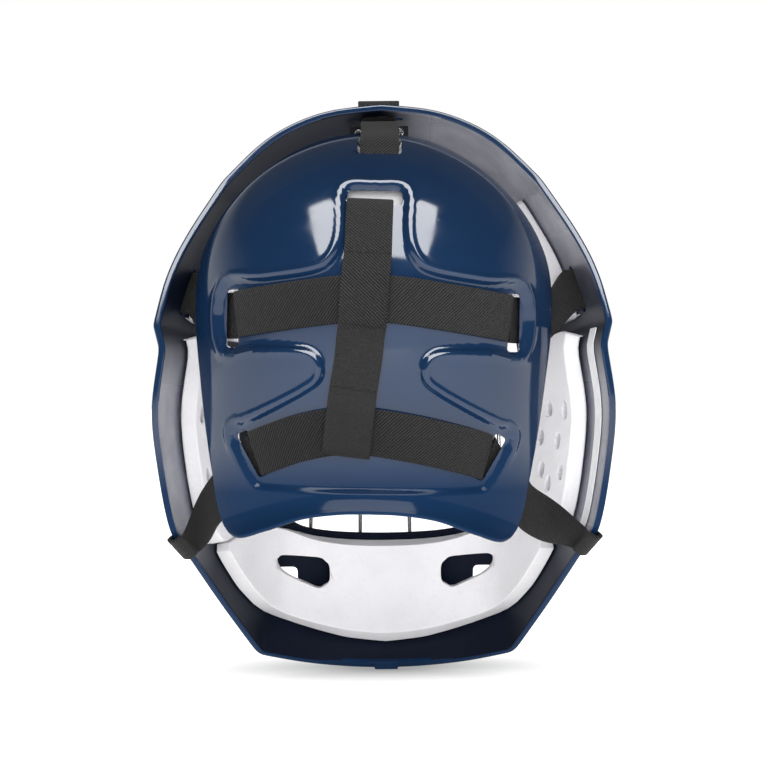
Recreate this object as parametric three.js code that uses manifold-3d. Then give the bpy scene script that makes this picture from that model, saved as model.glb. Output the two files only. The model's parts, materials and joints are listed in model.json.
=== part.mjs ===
// Goaltender's mask: a moulded shell with a wire cage in front, a foam liner,
// and a dome-shaped back plate held by an elastic harness and hung at the crown.
// Millimetres, +Z up, the face looks along -Y and the back plate is at +Y, +X is the wearer's left.
// Shapes are written about the middle of the head, and the whole is lifted to stand on its chin.
import * as THREE from "three";
import { mergeVertices } from "three/addons/utils/BufferGeometryUtils.js";
import Module from "manifold-3d";

const wasm = await Module();
wasm.setup();

// ---------------------------------------------------------------- driving dimensions
const HEAD_HEIGHT = 172.6; // middle of the head over the surface that the chin stands on
const CENTRE_Y = 23.185; // brings the middle of the whole depth to y = 0
const WALL = 4; // shell
const GAP = 0.35; // between touching pieces
const SEAT_DEPTH = 2; // step around the face opening that the cage sits in
const SEAT_END = 0.13; // where the seat ends, from opening (0) to rear rim (1)
const SEAT_STEP = 0.03;
const WIRE_RADIUS = 1.25;
const WIRE_LEVEL = 0.07; // the cage's outer wire runs this far from the opening's edge
const WIRE_LIFT = 2.2; // its centre over the seat
const SCREW_LEVEL = 0.2;
const PAD_THICK = 9;
const STRAP_WIDTH = 24;
const STRAP_THICK = 1.5;
const PLATE_THICK = 2.5;
const BED_DEPTH = 3; // strap bed in the back plate
const BED_EDGE = 2; // half the width of the slope around it
const PLATE_ROLL = THREE.MathUtils.degToRad(-1.47); // the plate hangs a little askew
const PLATE_SHIFT = 5.8;

// ---------------------------------------------------------------- shell surface
// Half of the shell, from the top ridge round the side to the chin. Each row is one section
// from the face opening's edge, over a control point, to the rear rim.
const SECTIONS = [
  [[0, -118, 66], [0, -100, 152], [0, 15, 153]],
  [[20, -117, 66.5], [27, -97, 146], [28, 16, 149.5]],
  [[38, -114, 66], [47, -90, 136], [49.5, 18, 141.7]],
  [[54, -109, 64], [64, -82, 122], [67.3, 20, 130]],
  [[68, -102, 58], [82, -70, 102], [86.8, 24, 110.5]],
  [[78, -95, 44], [92, -62, 76], [105.5, 32, 80.5]],
  [[83, -90, 28], [99, -56, 52], [115.8, 38, 58]],
  [[85, -88, 12], [106, -50, 30], [122.4, 44, 32.3]],
  [[85.5, -87.5, 2], [103, -50, 17], [119.2, 45, 19.5]],
  [[86, -87, -14], [108, -50, -13], [123.4, 45, -13]],
  [[84, -87, -32], [108, -50, -42], [121, 42, -44]],
  [[80, -89, -50], [104, -54, -72], [115.2, 36, -78]],
  [[73, -92, -66], [98, -64, -94], [108, 15, -94]],
  [[64, -96, -78], [90, -84, -112], [94, -28, -126]],
  [[52, -101, -86], [78, -108, -126], [76.7, -73, -161.3]],
  [[36, -106, -89.5], [54, -122, -132], [50, -84, -168]],
  [[18, -109.5, -91], [27, -132, -136], [25, -87.3, -171.2]],
  [[0, -111, -91.5], [0, -135, -138], [0, -88, -172.2]],
];
const CHIN = SECTIONS.length - 1;
const AROUND = 2 * CHIN;
const RIDGES = [0, 4, 7, 8, 14]; // sections where the moulding has a crease

const vec = (x, y, z) => new THREE.Vector3(x, y, z);

function control(section, which) {
  const i = ((section % AROUND) + AROUND) % AROUND;
  const [x, y, z] = SECTIONS[i <= CHIN ? i : AROUND - i][which];
  return vec(i <= CHIN ? x : -x, y, z);
}

function creased(section, which) {
  const i = ((section % AROUND) + AROUND) % AROUND;
  return which > 0 && RIDGES.includes(i <= CHIN ? i : AROUND - i);
}

// A control point between sections: a cubic through them that breaks only at a crease.
function controlBetween(section, which) {
  const i = Math.floor(section);
  const u = section - i;
  const [p, q] = [control(i, which), control(i + 1, which)];
  const from = creased(i, which) ? p : control(i - 1, which);
  const to = creased(i + 1, which) ? q : control(i + 2, which);
  const startSlope = q.clone().sub(from).multiplyScalar(creased(i, which) ? 1 : 0.5);
  const endSlope = to.clone().sub(p).multiplyScalar(creased(i + 1, which) ? 1 : 0.5);
  return vec(0, 0, 0)
    .addScaledVector(p, 2 * u ** 3 - 3 * u ** 2 + 1)
    .addScaledVector(startSlope, u ** 3 - 2 * u ** 2 + u)
    .addScaledVector(q, 3 * u ** 2 - 2 * u ** 3)
    .addScaledVector(endSlope, u ** 3 - u ** 2);
}

function onShell(section, level) {
  return vec(0, 0, 0)
    .addScaledVector(controlBetween(section, 0), (1 - level) ** 2)
    .addScaledVector(controlBetween(section, 1), 2 * (1 - level) * level)
    .addScaledVector(controlBetween(section, 2), level ** 2);
}

// Directions at a point of the shell: round it, towards the rear rim, and out of it.
function shellAxes(section, level) {
  const d = 0.02;
  const [near, far] = level > 0.5 ? [level - d, level] : [level, level + d];
  const round = onShell(section + 0.1, level).sub(onShell(section - 0.1, level)).normalize();
  const back = onShell(section, far).sub(onShell(section, near)).normalize();
  const out = round.clone().cross(back).normalize();
  if (out.dot(onShell(section, level).sub(vec(0, -30, -10))) < 0) out.negate();
  back.crossVectors(out, round).normalize();
  if (back.y < 0) back.negate();
  return { round, back, out };
}

function fromShell(section, level, height) {
  return onShell(section, level).addScaledVector(shellAxes(section, level).out, height);
}

// ---------------------------------------------------------------- solids
function volumeOf(geometry) {
  const p = geometry.attributes.position;
  const index = geometry.index.array;
  const [a, b, c] = [vec(), vec(), vec()];
  let sum = 0;
  for (let i = 0; i < index.length; i += 3) {
    a.fromBufferAttribute(p, index[i]);
    b.fromBufferAttribute(p, index[i + 1]);
    c.fromBufferAttribute(p, index[i + 2]);
    sum += a.dot(b.cross(c)) / 6;
  }
  return sum;
}

function closedGeometry(points, triangles) {
  const g = new THREE.BufferGeometry().setFromPoints(points);
  g.setIndex(triangles);
  if (volumeOf(g) < 0) g.setIndex(triangles.reverse());
  return g;
}

// A closed body between two matching grids of points, which may run right round.
function slab(top, bottom, round = false) {
  const [rows, columns] = [top.length, top[0].length];
  const at = (side, i, j) => side * rows * columns + (i % rows) * columns + j;
  const triangles = [];
  const quad = (a, b, c, d) => triangles.push(a, b, c, a, c, d);
  for (let i = 0; i < rows - (round ? 0 : 1); i++) {
    for (let j = 0; j + 1 < columns; j++) {
      quad(at(0, i, j), at(0, i + 1, j), at(0, i + 1, j + 1), at(0, i, j + 1));
      quad(at(1, i, j), at(1, i, j + 1), at(1, i + 1, j + 1), at(1, i + 1, j));
    }
    const last = columns - 1;
    quad(at(0, i + 1, 0), at(0, i, 0), at(1, i, 0), at(1, i + 1, 0));
    quad(at(0, i, last), at(0, i + 1, last), at(1, i + 1, last), at(1, i, last));
  }
  for (let j = 0; j + 1 < columns && !round; j++) {
    const last = rows - 1;
    quad(at(0, 0, j), at(0, 0, j + 1), at(1, 0, j + 1), at(1, 0, j));
    quad(at(0, last, j + 1), at(0, last, j), at(1, last, j), at(1, last, j + 1));
  }
  return closedGeometry([...top.flat(), ...bottom.flat()], triangles);
}

function welded(geometry) {
  const g = geometry.clone();
  for (const name of Object.keys(g.attributes)) if (name !== "position") g.deleteAttribute(name);
  return mergeVertices(g, 1e-4);
}

function solidOf(geometry) {
  const g = welded(geometry);
  return new wasm.Manifold(
    new wasm.Mesh({
      numProp: 3,
      vertProperties: g.attributes.position.array,
      triVerts: new Uint32Array(g.index.array),
    }),
  );
}

function geometryOf(solid) {
  const mesh = solid.getMesh();
  return new THREE.BufferGeometry()
    .setAttribute("position", new THREE.BufferAttribute(mesh.vertProperties, 3))
    .setIndex(new THREE.BufferAttribute(mesh.triVerts, 1));
}

function cut(geometry, tools) {
  let solid = solidOf(geometry);
  for (const tool of tools) solid = solid.subtract(solidOf(tool));
  return geometryOf(solid);
}

const range = (count) => Array.from({ length: count }, (_, i) => i);
const spread = (from, to, steps) => range(steps + 1).map((i) => from + ((to - from) * i) / steps);

function placed(geometry, origin, x, y, z) {
  return geometry.applyMatrix4(new THREE.Matrix4().makeBasis(x, y, z).setPosition(origin));
}

function roundedBar(width, height, radius, cornerSteps = 2) {
  const [w, h] = [width / 2 - radius, height / 2 - radius];
  const shape = new THREE.Shape();
  [[w, h, 0], [-w, h, 1], [-w, -h, 2], [w, -h, 3]].forEach(([x, y, quarter]) => {
    for (const turn of spread(quarter, quarter + 1, cornerSteps)) {
      const angle = (turn * Math.PI) / 2;
      const [px, py] = [x + radius * Math.cos(angle), y + radius * Math.sin(angle)];
      if (shape.curves.length || shape.currentPoint.lengthSq()) shape.lineTo(px, py);
      else shape.moveTo(px, py);
    }
  });
  return shape;
}

function extruded(shape, from, to, curveSegments = 8) {
  const options = { depth: to - from, bevelEnabled: false, curveSegments };
  return new THREE.ExtrudeGeometry(shape, options).translate(0, 0, from);
}

function disc(radius, from, to, sides = 12) {
  return new THREE.CylinderGeometry(radius, radius, to - from, sides)
    .rotateX(Math.PI / 2)
    .translate(0, 0, (from + to) / 2);
}

// Welds a body that closes on a line or a point, and drops the triangles that vanish there.
function closedUp(geometry) {
  const g = welded(geometry);
  const index = g.index.array;
  const kept = [];
  for (let i = 0; i < index.length; i += 3) {
    const [a, b, c] = index.slice(i, i + 3);
    if (a !== b && b !== c && a !== c) kept.push(a, b, c);
  }
  g.setIndex(kept);
  if (volumeOf(g) < 0) g.setIndex(kept.reverse());
  return g;
}

// A turned piece about Z: its half profile as radius and height.
function turned(profile, sides = 12) {
  const points = profile.map(([radius, height]) => new THREE.Vector2(radius, height));
  return closedUp(new THREE.LatheGeometry(points, sides).rotateX(Math.PI / 2));
}

// A bar of round wire along a list of points.
function wire(points, radius, steps, sides = 6) {
  const circle = new THREE.Shape(
    range(sides).map((i) => {
      const angle = (2 * Math.PI * (i + 0.5)) / sides;
      return new THREE.Vector2(radius * Math.cos(angle), radius * Math.sin(angle));
    }),
  );
  const extrudePath = new THREE.CatmullRomCurve3(points);
  return new THREE.ExtrudeGeometry(circle, { steps, extrudePath, curveSegments: 1 });
}

// A flat strap through stations, each a middle point, a direction across, and a width.
function strap(stations, steps, across = 2) {
  const middle = new THREE.CatmullRomCurve3(stations.map((s) => s.at), false, "centripetal");
  const count = stations.length - 1;
  const at = (u) => {
    const i = Math.min(Math.floor(u * count), count - 1);
    const f = u * count - i;
    const [a, b] = [stations[i], stations[i + 1]];
    return {
      at: middle.getPoint(u),
      along: middle.getTangent(u),
      side: a.side.clone().lerp(b.side, f).normalize(),
      width: THREE.MathUtils.lerp(a.width, b.width, f),
    };
  };
  const faces = [1, -1].map((face) =>
    spread(0, 1, steps).map((u) => {
      const s = at(u);
      const up = s.along.clone().cross(s.side).normalize();
      return spread(-0.5, 0.5, across).map((w) =>
        s.at
          .clone()
          .addScaledVector(s.side, w * s.width)
          .addScaledVector(up, (face * STRAP_THICK) / 2),
      );
    }),
  );
  return slab(faces[0], faces[1]);
}

// ---------------------------------------------------------------- shell
const SLOT_ROUND = 26.5;
const SLOT_ACROSS = 5.5;
const UPPER_SLOT = { section: 6.15, level: 0.83 };
const CROWN_SLOT = { section: 0, level: 0.92 };
const UPPER_SNAP_LEVEL = 0.73;
const LOWER_TAIL_SECTION = 11.55;
const LOWER_SNAP_LEVEL = 0.86;
const CROWN_SNAP_LEVEL = 0.84;
const SNAP_HOLE = 2.2;
const CLIP_SECTIONS = [1.5, 8.7, 13.2];
const SCREW_HOLE = 2.4;
const EAR_HOLE = 3.5;
const EAR_HOLES = [[8.6, 0.5], [9.3, 0.5], [8.95, 0.57]]; // section and level
const BROW_VENT = { section: 2.2, level: 0.42, width: 24, height: 9, radius: 4 };
const CHIN_FOOT = { width: 14, depth: 5, height: 5, y: -88 };

const sides = (section) => [section, AROUND - section];
const sideNames = ["left", "right"];

// A shape written about a point of the shell: x round it, z out of it.
function atShell(geometry, section, level) {
  const { round, back, out } = shellAxes(section, level);
  const across = round.clone().cross(back).dot(out) > 0 ? back : back.clone().negate();
  return placed(geometry, onShell(section, level), round, across, out);
}

// Cutting tools reach from well inside the wall to well outside it.
const REACH = { inside: -14, outside: 10 };

const throughShell = (shape, section, level) =>
  atShell(extruded(shape, REACH.inside, REACH.outside), section, level);

const hole = (section, level, radius) =>
  atShell(disc(radius, REACH.inside, REACH.outside, 8), section, level);

function chinVent(side) {
  // A trapezium with round corners, cut straight through from front to rear.
  const shape = new THREE.Shape();
  shape.moveTo(54, -112);
  shape.lineTo(74, -111);
  shape.lineTo(78, -117);
  shape.lineTo(72, -128);
  shape.lineTo(58, -134);
  shape.lineTo(53.5, -130);
  const g = extruded(shape, 40, 140).rotateX(Math.PI / 2);
  return side > 0 ? g : mirrored(g);
}

function mirrored(geometry) {
  const g = welded(geometry).scale(-1, 1, 1);
  return g.setIndex([...g.index.array].reverse());
}

function shellGeometry() {
  const levels = [0, SEAT_END, SEAT_END + SEAT_STEP, ...spread(0.3, 1, 5)];
  const seat = (level) => (level <= SEAT_END ? -SEAT_DEPTH : 0);
  const rings = spread(0, AROUND, AROUND * 2).slice(0, -1);
  const outer = rings.map((s) => levels.map((level) => fromShell(s, level, seat(level))));
  const inner = rings.map((s) => levels.map((level) => fromShell(s, level, -WALL)));
  const foot = new THREE.BoxGeometry(CHIN_FOOT.width, CHIN_FOOT.depth, CHIN_FOOT.height)
    .translate(0, CHIN_FOOT.y, -HEAD_HEIGHT + CHIN_FOOT.height / 2);
  const body = geometryOf(solidOf(slab(outer, inner, true)).add(solidOf(foot)));
  const slot = roundedBar(SLOT_ROUND, SLOT_ACROSS, 2);
  const crownSlot = roundedBar(SLOT_ROUND - 2, SLOT_ACROSS, 2);
  const browVent = roundedBar(BROW_VENT.width, BROW_VENT.height, BROW_VENT.radius);
  const tools = [
    throughShell(crownSlot, CROWN_SLOT.section, CROWN_SLOT.level),
    hole(0, CROWN_SNAP_LEVEL, SNAP_HOLE),
    ...[1, -1].map(chinVent),
    ...sides(UPPER_SLOT.section).flatMap((s) => [
      throughShell(slot, s, UPPER_SLOT.level),
      hole(s, UPPER_SNAP_LEVEL, SNAP_HOLE),
    ]),
    ...sides(LOWER_TAIL_SECTION).map((s) => hole(s, LOWER_SNAP_LEVEL, SNAP_HOLE)),
    ...CLIP_SECTIONS.flatMap((c) => sides(c).map((s) => hole(s, SCREW_LEVEL, SCREW_HOLE))),
    ...EAR_HOLES.flatMap(([c, level]) => sides(c).map((s) => hole(s, level, EAR_HOLE))),
    ...sides(BROW_VENT.section).map((s) => throughShell(browVent, s, BROW_VENT.level)),
  ];
  return cut(body, tools);
}

// ---------------------------------------------------------------- cage
const CAGE_CENTRE = vec(0, -20, -12);
const CAGE_RADII = vec(107, 125, 124);
const CAGE_COLUMNS = [15.4, 46, 72];
const CAGE_ROWS = [40, 6, -28, -60];
const LAYER = 2 * WIRE_RADIUS + 2 * GAP; // the upright bars lie in front of the others by this much

const rimWire = (section, over = 0) =>
  fromShell(section, WIRE_LEVEL, WIRE_LIFT - SEAT_DEPTH + over);

function cageDepth(x, z) {
  const s = (x / CAGE_RADII.x) ** 2 + ((z - CAGE_CENTRE.z) / CAGE_RADII.z) ** 2;
  return CAGE_CENTRE.y - CAGE_RADII.y * Math.sqrt(Math.max(0, 1 - s));
}

// The section at which the cage's outer wire passes a given height or width.
function findSection(from, to, over, miss) {
  let [a, b] = [from, to];
  for (const _ of range(40)) {
    const m = (a + b) / 2;
    if (miss(rimWire(a, over)) * miss(rimWire(m, over)) <= 0) b = m;
    else a = m;
  }
  return (a + b) / 2;
}

function uprightBar(x) {
  const miss = (p) => p.x - Math.abs(x);
  const ends = [[0, 8], [10, CHIN]].map(([from, to]) =>
    rimWire(findSection(from, to, LAYER, miss), LAYER),
  );
  const [top, low] = ends;
  const [missTop, missLow] = ends.map((p) => p.y - cageDepth(x, p.z));
  const points = spread(0, 1, 12).map((f) => {
    const z = THREE.MathUtils.lerp(top.z + 1, low.z - 1, f);
    const y = cageDepth(x, z) + THREE.MathUtils.lerp(missTop, missLow, f);
    return vec(x, y, z);
  });
  return wire(points, WIRE_RADIUS, 12);
}

function levelBar(z) {
  const end = rimWire(findSection(4, 14, 0, (p) => p.z - z));
  const miss = end.y - cageDepth(end.x, z);
  const half = end.x - 1.5;
  const points = spread(-half, half, 12).map((x) => vec(x, cageDepth(x, z) + miss, z));
  return wire(points, WIRE_RADIUS, 12);
}

function rimWireGeometry() {
  const sections = spread(0, AROUND, AROUND).slice(0, -1);
  const path = new THREE.CatmullRomCurve3(sections.map((s) => rimWire(s)), true);
  return welded(new THREE.TubeGeometry(path, 60, WIRE_RADIUS, 6, true));
}

// Everything at one cage fixing is written in its own frame: y towards the opening, z out.
function fixingFrame(section) {
  const { round, back, out } = shellAxes(section, SCREW_LEVEL);
  const y = back.clone().negate();
  const x = y.clone().cross(out);
  return { origin: onShell(section, SCREW_LEVEL), x, y, z: out };
}

function inFrame(geometry, f) {
  return placed(geometry, f.origin, f.x, f.y, f.z);
}

const CLIP = { width: 9, thick: 1.2, tail: 5.5, play: 0.9 };
const SCREW = { head: 4, headHeight: 2.2, shank: 2, length: 9.6 };
const NUT = { across: 4.2, height: 2.6 };

function clipGeometry(f) {
  const toWire = rimWire(f.section).sub(f.origin);
  const [y, z] = [toWire.dot(f.y), toWire.dot(f.z)];
  const inside = WIRE_RADIUS + CLIP.play;
  const outside = inside + CLIP.thick;
  const profile = [
    [-CLIP.tail, GAP],
    [-CLIP.tail, GAP + CLIP.thick],
    [y - 5, GAP + CLIP.thick],
    [y - 3, z + outside],
    [y + inside, z + outside],
    [y + outside, z + inside],
    [y + outside, z - 0.6],
    [y + inside, z - 0.6],
    [y + inside, z + inside],
    [y - 2.4, z + inside],
    [y - 4.4, GAP],
  ];
  const outline = new THREE.Shape(profile.map(([a, b]) => new THREE.Vector2(a, b)));
  const g = extruded(outline, -CLIP.width / 2, CLIP.width / 2);
  const body = placed(g, vec(0, 0, 0), vec(0, 1, 0), vec(0, 0, 1), vec(1, 0, 0));
  return inFrame(cut(body, [disc(SCREW_HOLE, -2, 4, 10)]), f);
}

function screwGeometry(f) {
  const under = 2 * GAP + CLIP.thick;
  const profile = [
    [0, under - SCREW.length],
    [SCREW.shank, under - SCREW.length],
    [SCREW.shank, under],
    [SCREW.head, under],
    [SCREW.head * 0.85, under + SCREW.headHeight * 0.7],
    [SCREW.head * 0.5, under + SCREW.headHeight],
    [0, under + SCREW.headHeight],
  ];
  return inFrame(turned(profile, 12), f);
}

function nutGeometry(f) {
  const top = -WALL - 3 * GAP;
  const body = disc(NUT.across, top - NUT.height, top, 6);
  return inFrame(cut(body, [disc(SCREW_HOLE, top - NUT.height - 1, top + 1, 10)]), f);
}

// ---------------------------------------------------------------- liner
// A pad lies on the inner wall between two sections and two levels.
function wallPad(sectionFrom, sectionTo, levelFrom, levelTo, steps, thick = PAD_THICK, base = GAP) {
  const rows = spread(sectionFrom, sectionTo, steps);
  const levels = spread(levelFrom, levelTo, 4);
  const face = (height) => rows.map((s) => levels.map((level) => fromShell(s, level, height)));
  return slab(face(-WALL - base), face(-WALL - base - thick));
}

// How far a value that is listed by distance from the middle has got at one distance.
function listed(table, distance) {
  const i = Math.max(0, table.findIndex(([d]) => d >= distance) - 1);
  const [[from, a], [to, b]] = [table[i], table[i + 1]];
  return THREE.MathUtils.lerp(a, b, (distance - from) / (to - from));
}

const CHIN_PAD = {
  reach: 5, // sections to each side of the chin's middle
  thick: PAD_THICK - 1,
  base: 0.8,
  upper: [[0, 0.03], [3, 0.03], [3.5, 0.06], [4, 0.12], [4.6, 0.25], [5, 0.32]], // level by distance
  lower: [[0, 0.84], [1, 0.815], [2, 0.755], [3, 0.7], [3.5, 0.755], [4, 0.775], [4.6, 0.76], [5, 0.75]],
};

const CHIN_PAD_VENT = [[38, -106], [65, -102.5], [66, -109], [59, -116], [40, -125.5], [34, -122], [34, -110]];

function chinPadGeometry() {
  const { reach, thick, base, upper, lower } = CHIN_PAD;
  const face = (height) =>
    spread(-reach, reach, 24).map((d) =>
      spread(listed(upper, Math.abs(d)), listed(lower, Math.abs(d)), 5).map((level) =>
        fromShell(CHIN + d, level, height),
      ),
    );
  const pad = slab(face(-WALL - base), face(-WALL - base - thick));
  const shape = new THREE.Shape();
  CHIN_PAD_VENT.forEach(([x, z], i) => (i ? shape.lineTo(x, z) : shape.moveTo(x, z)));
  const vent = extruded(shape, 30, 150).rotateX(Math.PI / 2);
  const pockets = sides(CLIP_SECTIONS[2]).map((s) => pocket(s, SCREW_LEVEL, 6, 9.5));
  return cut(pad, [vent, mirrored(vent), ...pockets]);
}

// A round hollow in the wall side of a pad, over a nut or a rivet's foot.
const pocket = (section, level, radius, depth) =>
  atShell(disc(radius, -depth, 2, 10), section, level);

// ---------------------------------------------------------------- back plate
const PLATE_MIDDLE = 30; // height that its outline is drawn about
const PLATE_OUTLINE = [
  [0, 137.5], [34, 130], [64.5, 110], [79.5, 94], [89.5, 77.5], [94.5, 62], [96, 34], [92, 0],
  [87.5, -30], [83.5, -52], [81, -66], [77, -76], [70.6, -80], [55, -75.5], [35, -68.5], [15, -65.5],
  [0, -65],
];
const BED_OUTLINE = [
  [0, 100.3], [13.5, 100.3], [15.6, 97.5], [15.6, 80], [16.6, 71], [19.5, 63.5], [24, 58.4], [30, 56],
  [38, 54.4], [57, 52.2], [78, 50.6], [78, 17.3], [60, 17.8], [40, 17.6], [33, 16.7], [28.5, 14.2],
  [25.6, 10], [25, 5.5], [26, 1.5], [29.5, -2.5], [66, -21.4], [70.5, -22.4], [73, -26], [60, -53],
  [52, -54.5], [0, -54.5],
];

const DOME = {
  wide: 101, // half width, and depth
  high: 98, // from the widest height to the top
  low: 170,
  turnHeight: 40,
  front: 6,
  lip: { width: 14, curl: 0.055 },
};

const plateGroup = new THREE.Group();
plateGroup.position.set(PLATE_SHIFT, 0, 0);
plateGroup.rotation.y = PLATE_ROLL;
plateGroup.updateMatrix();

// The plate is a dome above its widest height and a barrel below it, and its lower lip turns out.
function domeDepth(x, z) {
  const { wide, high, low, turnHeight, front, lip } = DOME;
  const across = 1 - (x / wide) ** 2;
  const up = z - turnHeight;
  if (up >= 0) return front + wide * Math.sqrt(Math.max(1e-4, across - (up / high) ** 2));
  const overEdge = z - (-65 - 15 * (x / 70.6) ** 2);
  const flare = lip.curl * Math.max(0, lip.width - overEdge) ** 2;
  return front + flare + wide * Math.sqrt(Math.max(1e-4, across)) * Math.sqrt(1 - (up / low) ** 2);
}

// How far a point lies inside the strap bed, negative outside.
function insideBed(x, z) {
  const px = Math.abs(x);
  let [inside, nearest] = [false, Infinity];
  for (let i = 0; i + 1 < BED_OUTLINE.length; i++) {
    const [[ax, az], [bx, bz]] = [BED_OUTLINE[i], BED_OUTLINE[i + 1]];
    const [dx, dz] = [bx - ax, bz - az];
    const along = ((px - ax) * dx + (z - az) * dz) / (dx * dx + dz * dz);
    const f = THREE.MathUtils.clamp(along, 0, 1);
    nearest = Math.min(nearest, Math.hypot(px - ax - f * dx, z - az - f * dz));
    if (az > z !== bz > z && px < ax + (dx * (z - az)) / dz) inside = !inside;
  }
  return inside ? nearest : -nearest;
}

function onPlate(x, z, height) {
  const d = 0.5;
  const slopeX = (domeDepth(x + d, z) - domeDepth(x - d, z)) / (2 * d);
  const slopeZ = (domeDepth(x, z + d) - domeDepth(x, z - d)) / (2 * d);
  const out = vec(-slopeX, 1, -slopeZ).normalize();
  return vec(x, domeDepth(x, z), z).addScaledVector(out, height);
}

function bedSink(x, z) {
  return BED_DEPTH * THREE.MathUtils.smoothstep(insideBed(x, z), -BED_EDGE, BED_EDGE);
}

// The outline's point in a direction from the plate's middle, by angle from straight up.
const outlineCurve = new THREE.CatmullRomCurve3(
  PLATE_OUTLINE.map(([x, z]) => vec(x, 0, z)),
  false,
  "centripetal",
);

function domeSlab(scale, around, rings, outerHeight, innerHeight) {
  const half = spread(0, 1, around).map((u) => outlineCurve.getPoint(u));
  const other = half.slice(1, -1).reverse();
  const edge = [...half, ...other.map((p) => vec(-p.x, 0, p.z))];
  const face = (height) =>
    edge.map((p) =>
      spread(0, scale, rings).map((f) => {
        const [x, z] = [p.x * f, PLATE_MIDDLE + (p.z - PLATE_MIDDLE) * f];
        return onPlate(x, z, height(x, z));
      }),
    );
  return closedUp(slab(face(outerHeight), face(innerHeight), true));
}

function plateTool(shape) {
  const g = welded(extruded(shape, 0, 140)).rotateX(-Math.PI / 2).scale(1, 1, -1);
  return g.setIndex([...g.index.array].reverse());
}

function barTool(x, z, width, height, turn) {
  return plateTool(roundedBar(width, height, 2))
    .rotateY(turn)
    .translate(x, 0, z);
}

const PLATE_PAD = { outer: -8.8, inner: -17 };
const SIDE_SLOT = { x: 72.2, z: 32.4, width: 6.5, height: 30 };
const LOWER_SLOT = { x: 60.6, z: -36.8, width: 6.5, height: 25, turn: 0.52 };
const TOP_SLOT = { x: 0, z: 94.2, width: 28, height: 7.6 };
const CROWN_STRAP_SLOT = { x: -1.8, z: 124.7, width: 23, height: 10.9 };

function backPlateGeometry() {
  const outer = (x, z) => -bedSink(x, z);
  const inner = (x, z) => -bedSink(x, z) - PLATE_THICK;
  const body = domeSlab(1, 27, 10, outer, inner);
  const bar = (s, sign) =>
    barTool(sign * s.x, s.z, s.width, s.height, sign * (s.turn ?? 0));
  return cut(body, [
    bar(TOP_SLOT, 1),
    bar(CROWN_STRAP_SLOT, 1),
    ...[1, -1].flatMap((sign) => [bar(SIDE_SLOT, sign), bar(LOWER_SLOT, sign)]),
  ]);
}

function platePadGeometry() {
  return domeSlab(0.84, 14, 4, () => PLATE_PAD.outer, () => PLATE_PAD.inner);
}

// A strap lying on the plate along a path of points, as wide as the harness.
function plateStrap(path, low, steps) {
  const curve = new THREE.CatmullRomCurve3(path.map(([x, z]) => vec(x, 0, z)), false, "centripetal");
  const rows = spread(0, 1, steps).map((u) => {
    const p = curve.getPoint(u);
    const t = curve.getTangent(u);
    return spread(-0.5, 0.5, 4).map((w) => [
      p.x + t.z * w * STRAP_WIDTH,
      p.z - t.x * w * STRAP_WIDTH,
    ]);
  });
  const face = (height) => rows.map((row) => row.map(([x, z]) => onPlate(x, z, height)));
  return slab(face(low), face(low + STRAP_THICK));
}

const ON_BED = -BED_DEPTH + 1.3;
const UPPER_STRAP = [[70.5, 34.4], [38, 39], [4.6, 42.4], [-34, 39.2], [-70.5, 34.4]];
const LOWER_STRAP = [[59.5, -36.8], [36, -28.5], [11.1, -24.2], [-22, -28], [-59.5, -37]];
const UPRIGHT_STRAP = [[2.8, 94], [3, 65.9], [4, 53.9], [5, 29.9], [9.2, -2.7], [12.4, -36.4]];

// ---------------------------------------------------------------- strap ends that reach the shell
const onPlatePlaced = (x, z, height) => onPlate(x, z, height).applyMatrix4(plateGroup.matrix);

// A direction laid flat on the plate at one of its points.
function acrossPlate(x, z, direction) {
  const out = onPlate(x, z, 1).sub(onPlate(x, z, 0));
  return direction.addScaledVector(out, -out.dot(direction)).normalize();
}

function upperTail(sign) {
  const section = sign > 0 ? UPPER_SLOT.section : AROUND - UPPER_SLOT.section;
  const slotSide = shellAxes(section, UPPER_SLOT.level).round.multiplyScalar(-sign);
  const shellStops = [[0.84, -9], [0.832, -5], [0.828, -1], [0.815, 1.7], [0.79, 1.35], [0.67, 1.35]];
  return [
    ...[[80, -7], [85, -6], [90, -5.3], [95, -5]].map(([x, height]) => ({
      at: onPlatePlaced(sign * x, 34, height),
      side: acrossPlate(sign * x, 34, vec(0, 0, 1)),
      width: STRAP_WIDTH,
    })),
    ...shellStops.map(([level, height]) => ({
      at: fromShell(section, level, height),
      side: slotSide,
      width: STRAP_WIDTH,
    })),
  ];
}

function lowerTail(sign) {
  const section = sign > 0 ? LOWER_TAIL_SECTION : AROUND - LOWER_TAIL_SECTION;
  const { round, back, out } = shellAxes(section, 1);
  const rimSide = round.clone().multiplyScalar(-sign);
  const rim = onShell(section, 1);
  const pastRim = (beyond, height) =>
    rim.clone().addScaledVector(back, beyond).addScaledVector(out, height);
  const plateStops = [[70, -49, -5.1, 0.7], [76, -55, -5, 0.6], [82, -60, -5, 0.5], [88, -66, -5, 0.4]];
  return [
    ...plateStops.map(([x, z, height, lean]) => ({
      at: onPlatePlaced(sign * x, z, height),
      side: acrossPlate(sign * x, z, vec(sign * lean, 0, 1)),
      width: STRAP_WIDTH,
    })),
    ...[fromShell(section, 0.95, -6), pastRim(1.6, -5.1), pastRim(2.8, -2), pastRim(1.6, 1.1),
      fromShell(section, 0.95, 1.6), fromShell(section, 0.9, 1.5), fromShell(section, 0.8, 1.5)]
      .map((at) => ({ at, side: rimSide, width: STRAP_WIDTH })),
  ];
}

const CROWN_STRAP_X = 1.2;

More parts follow.
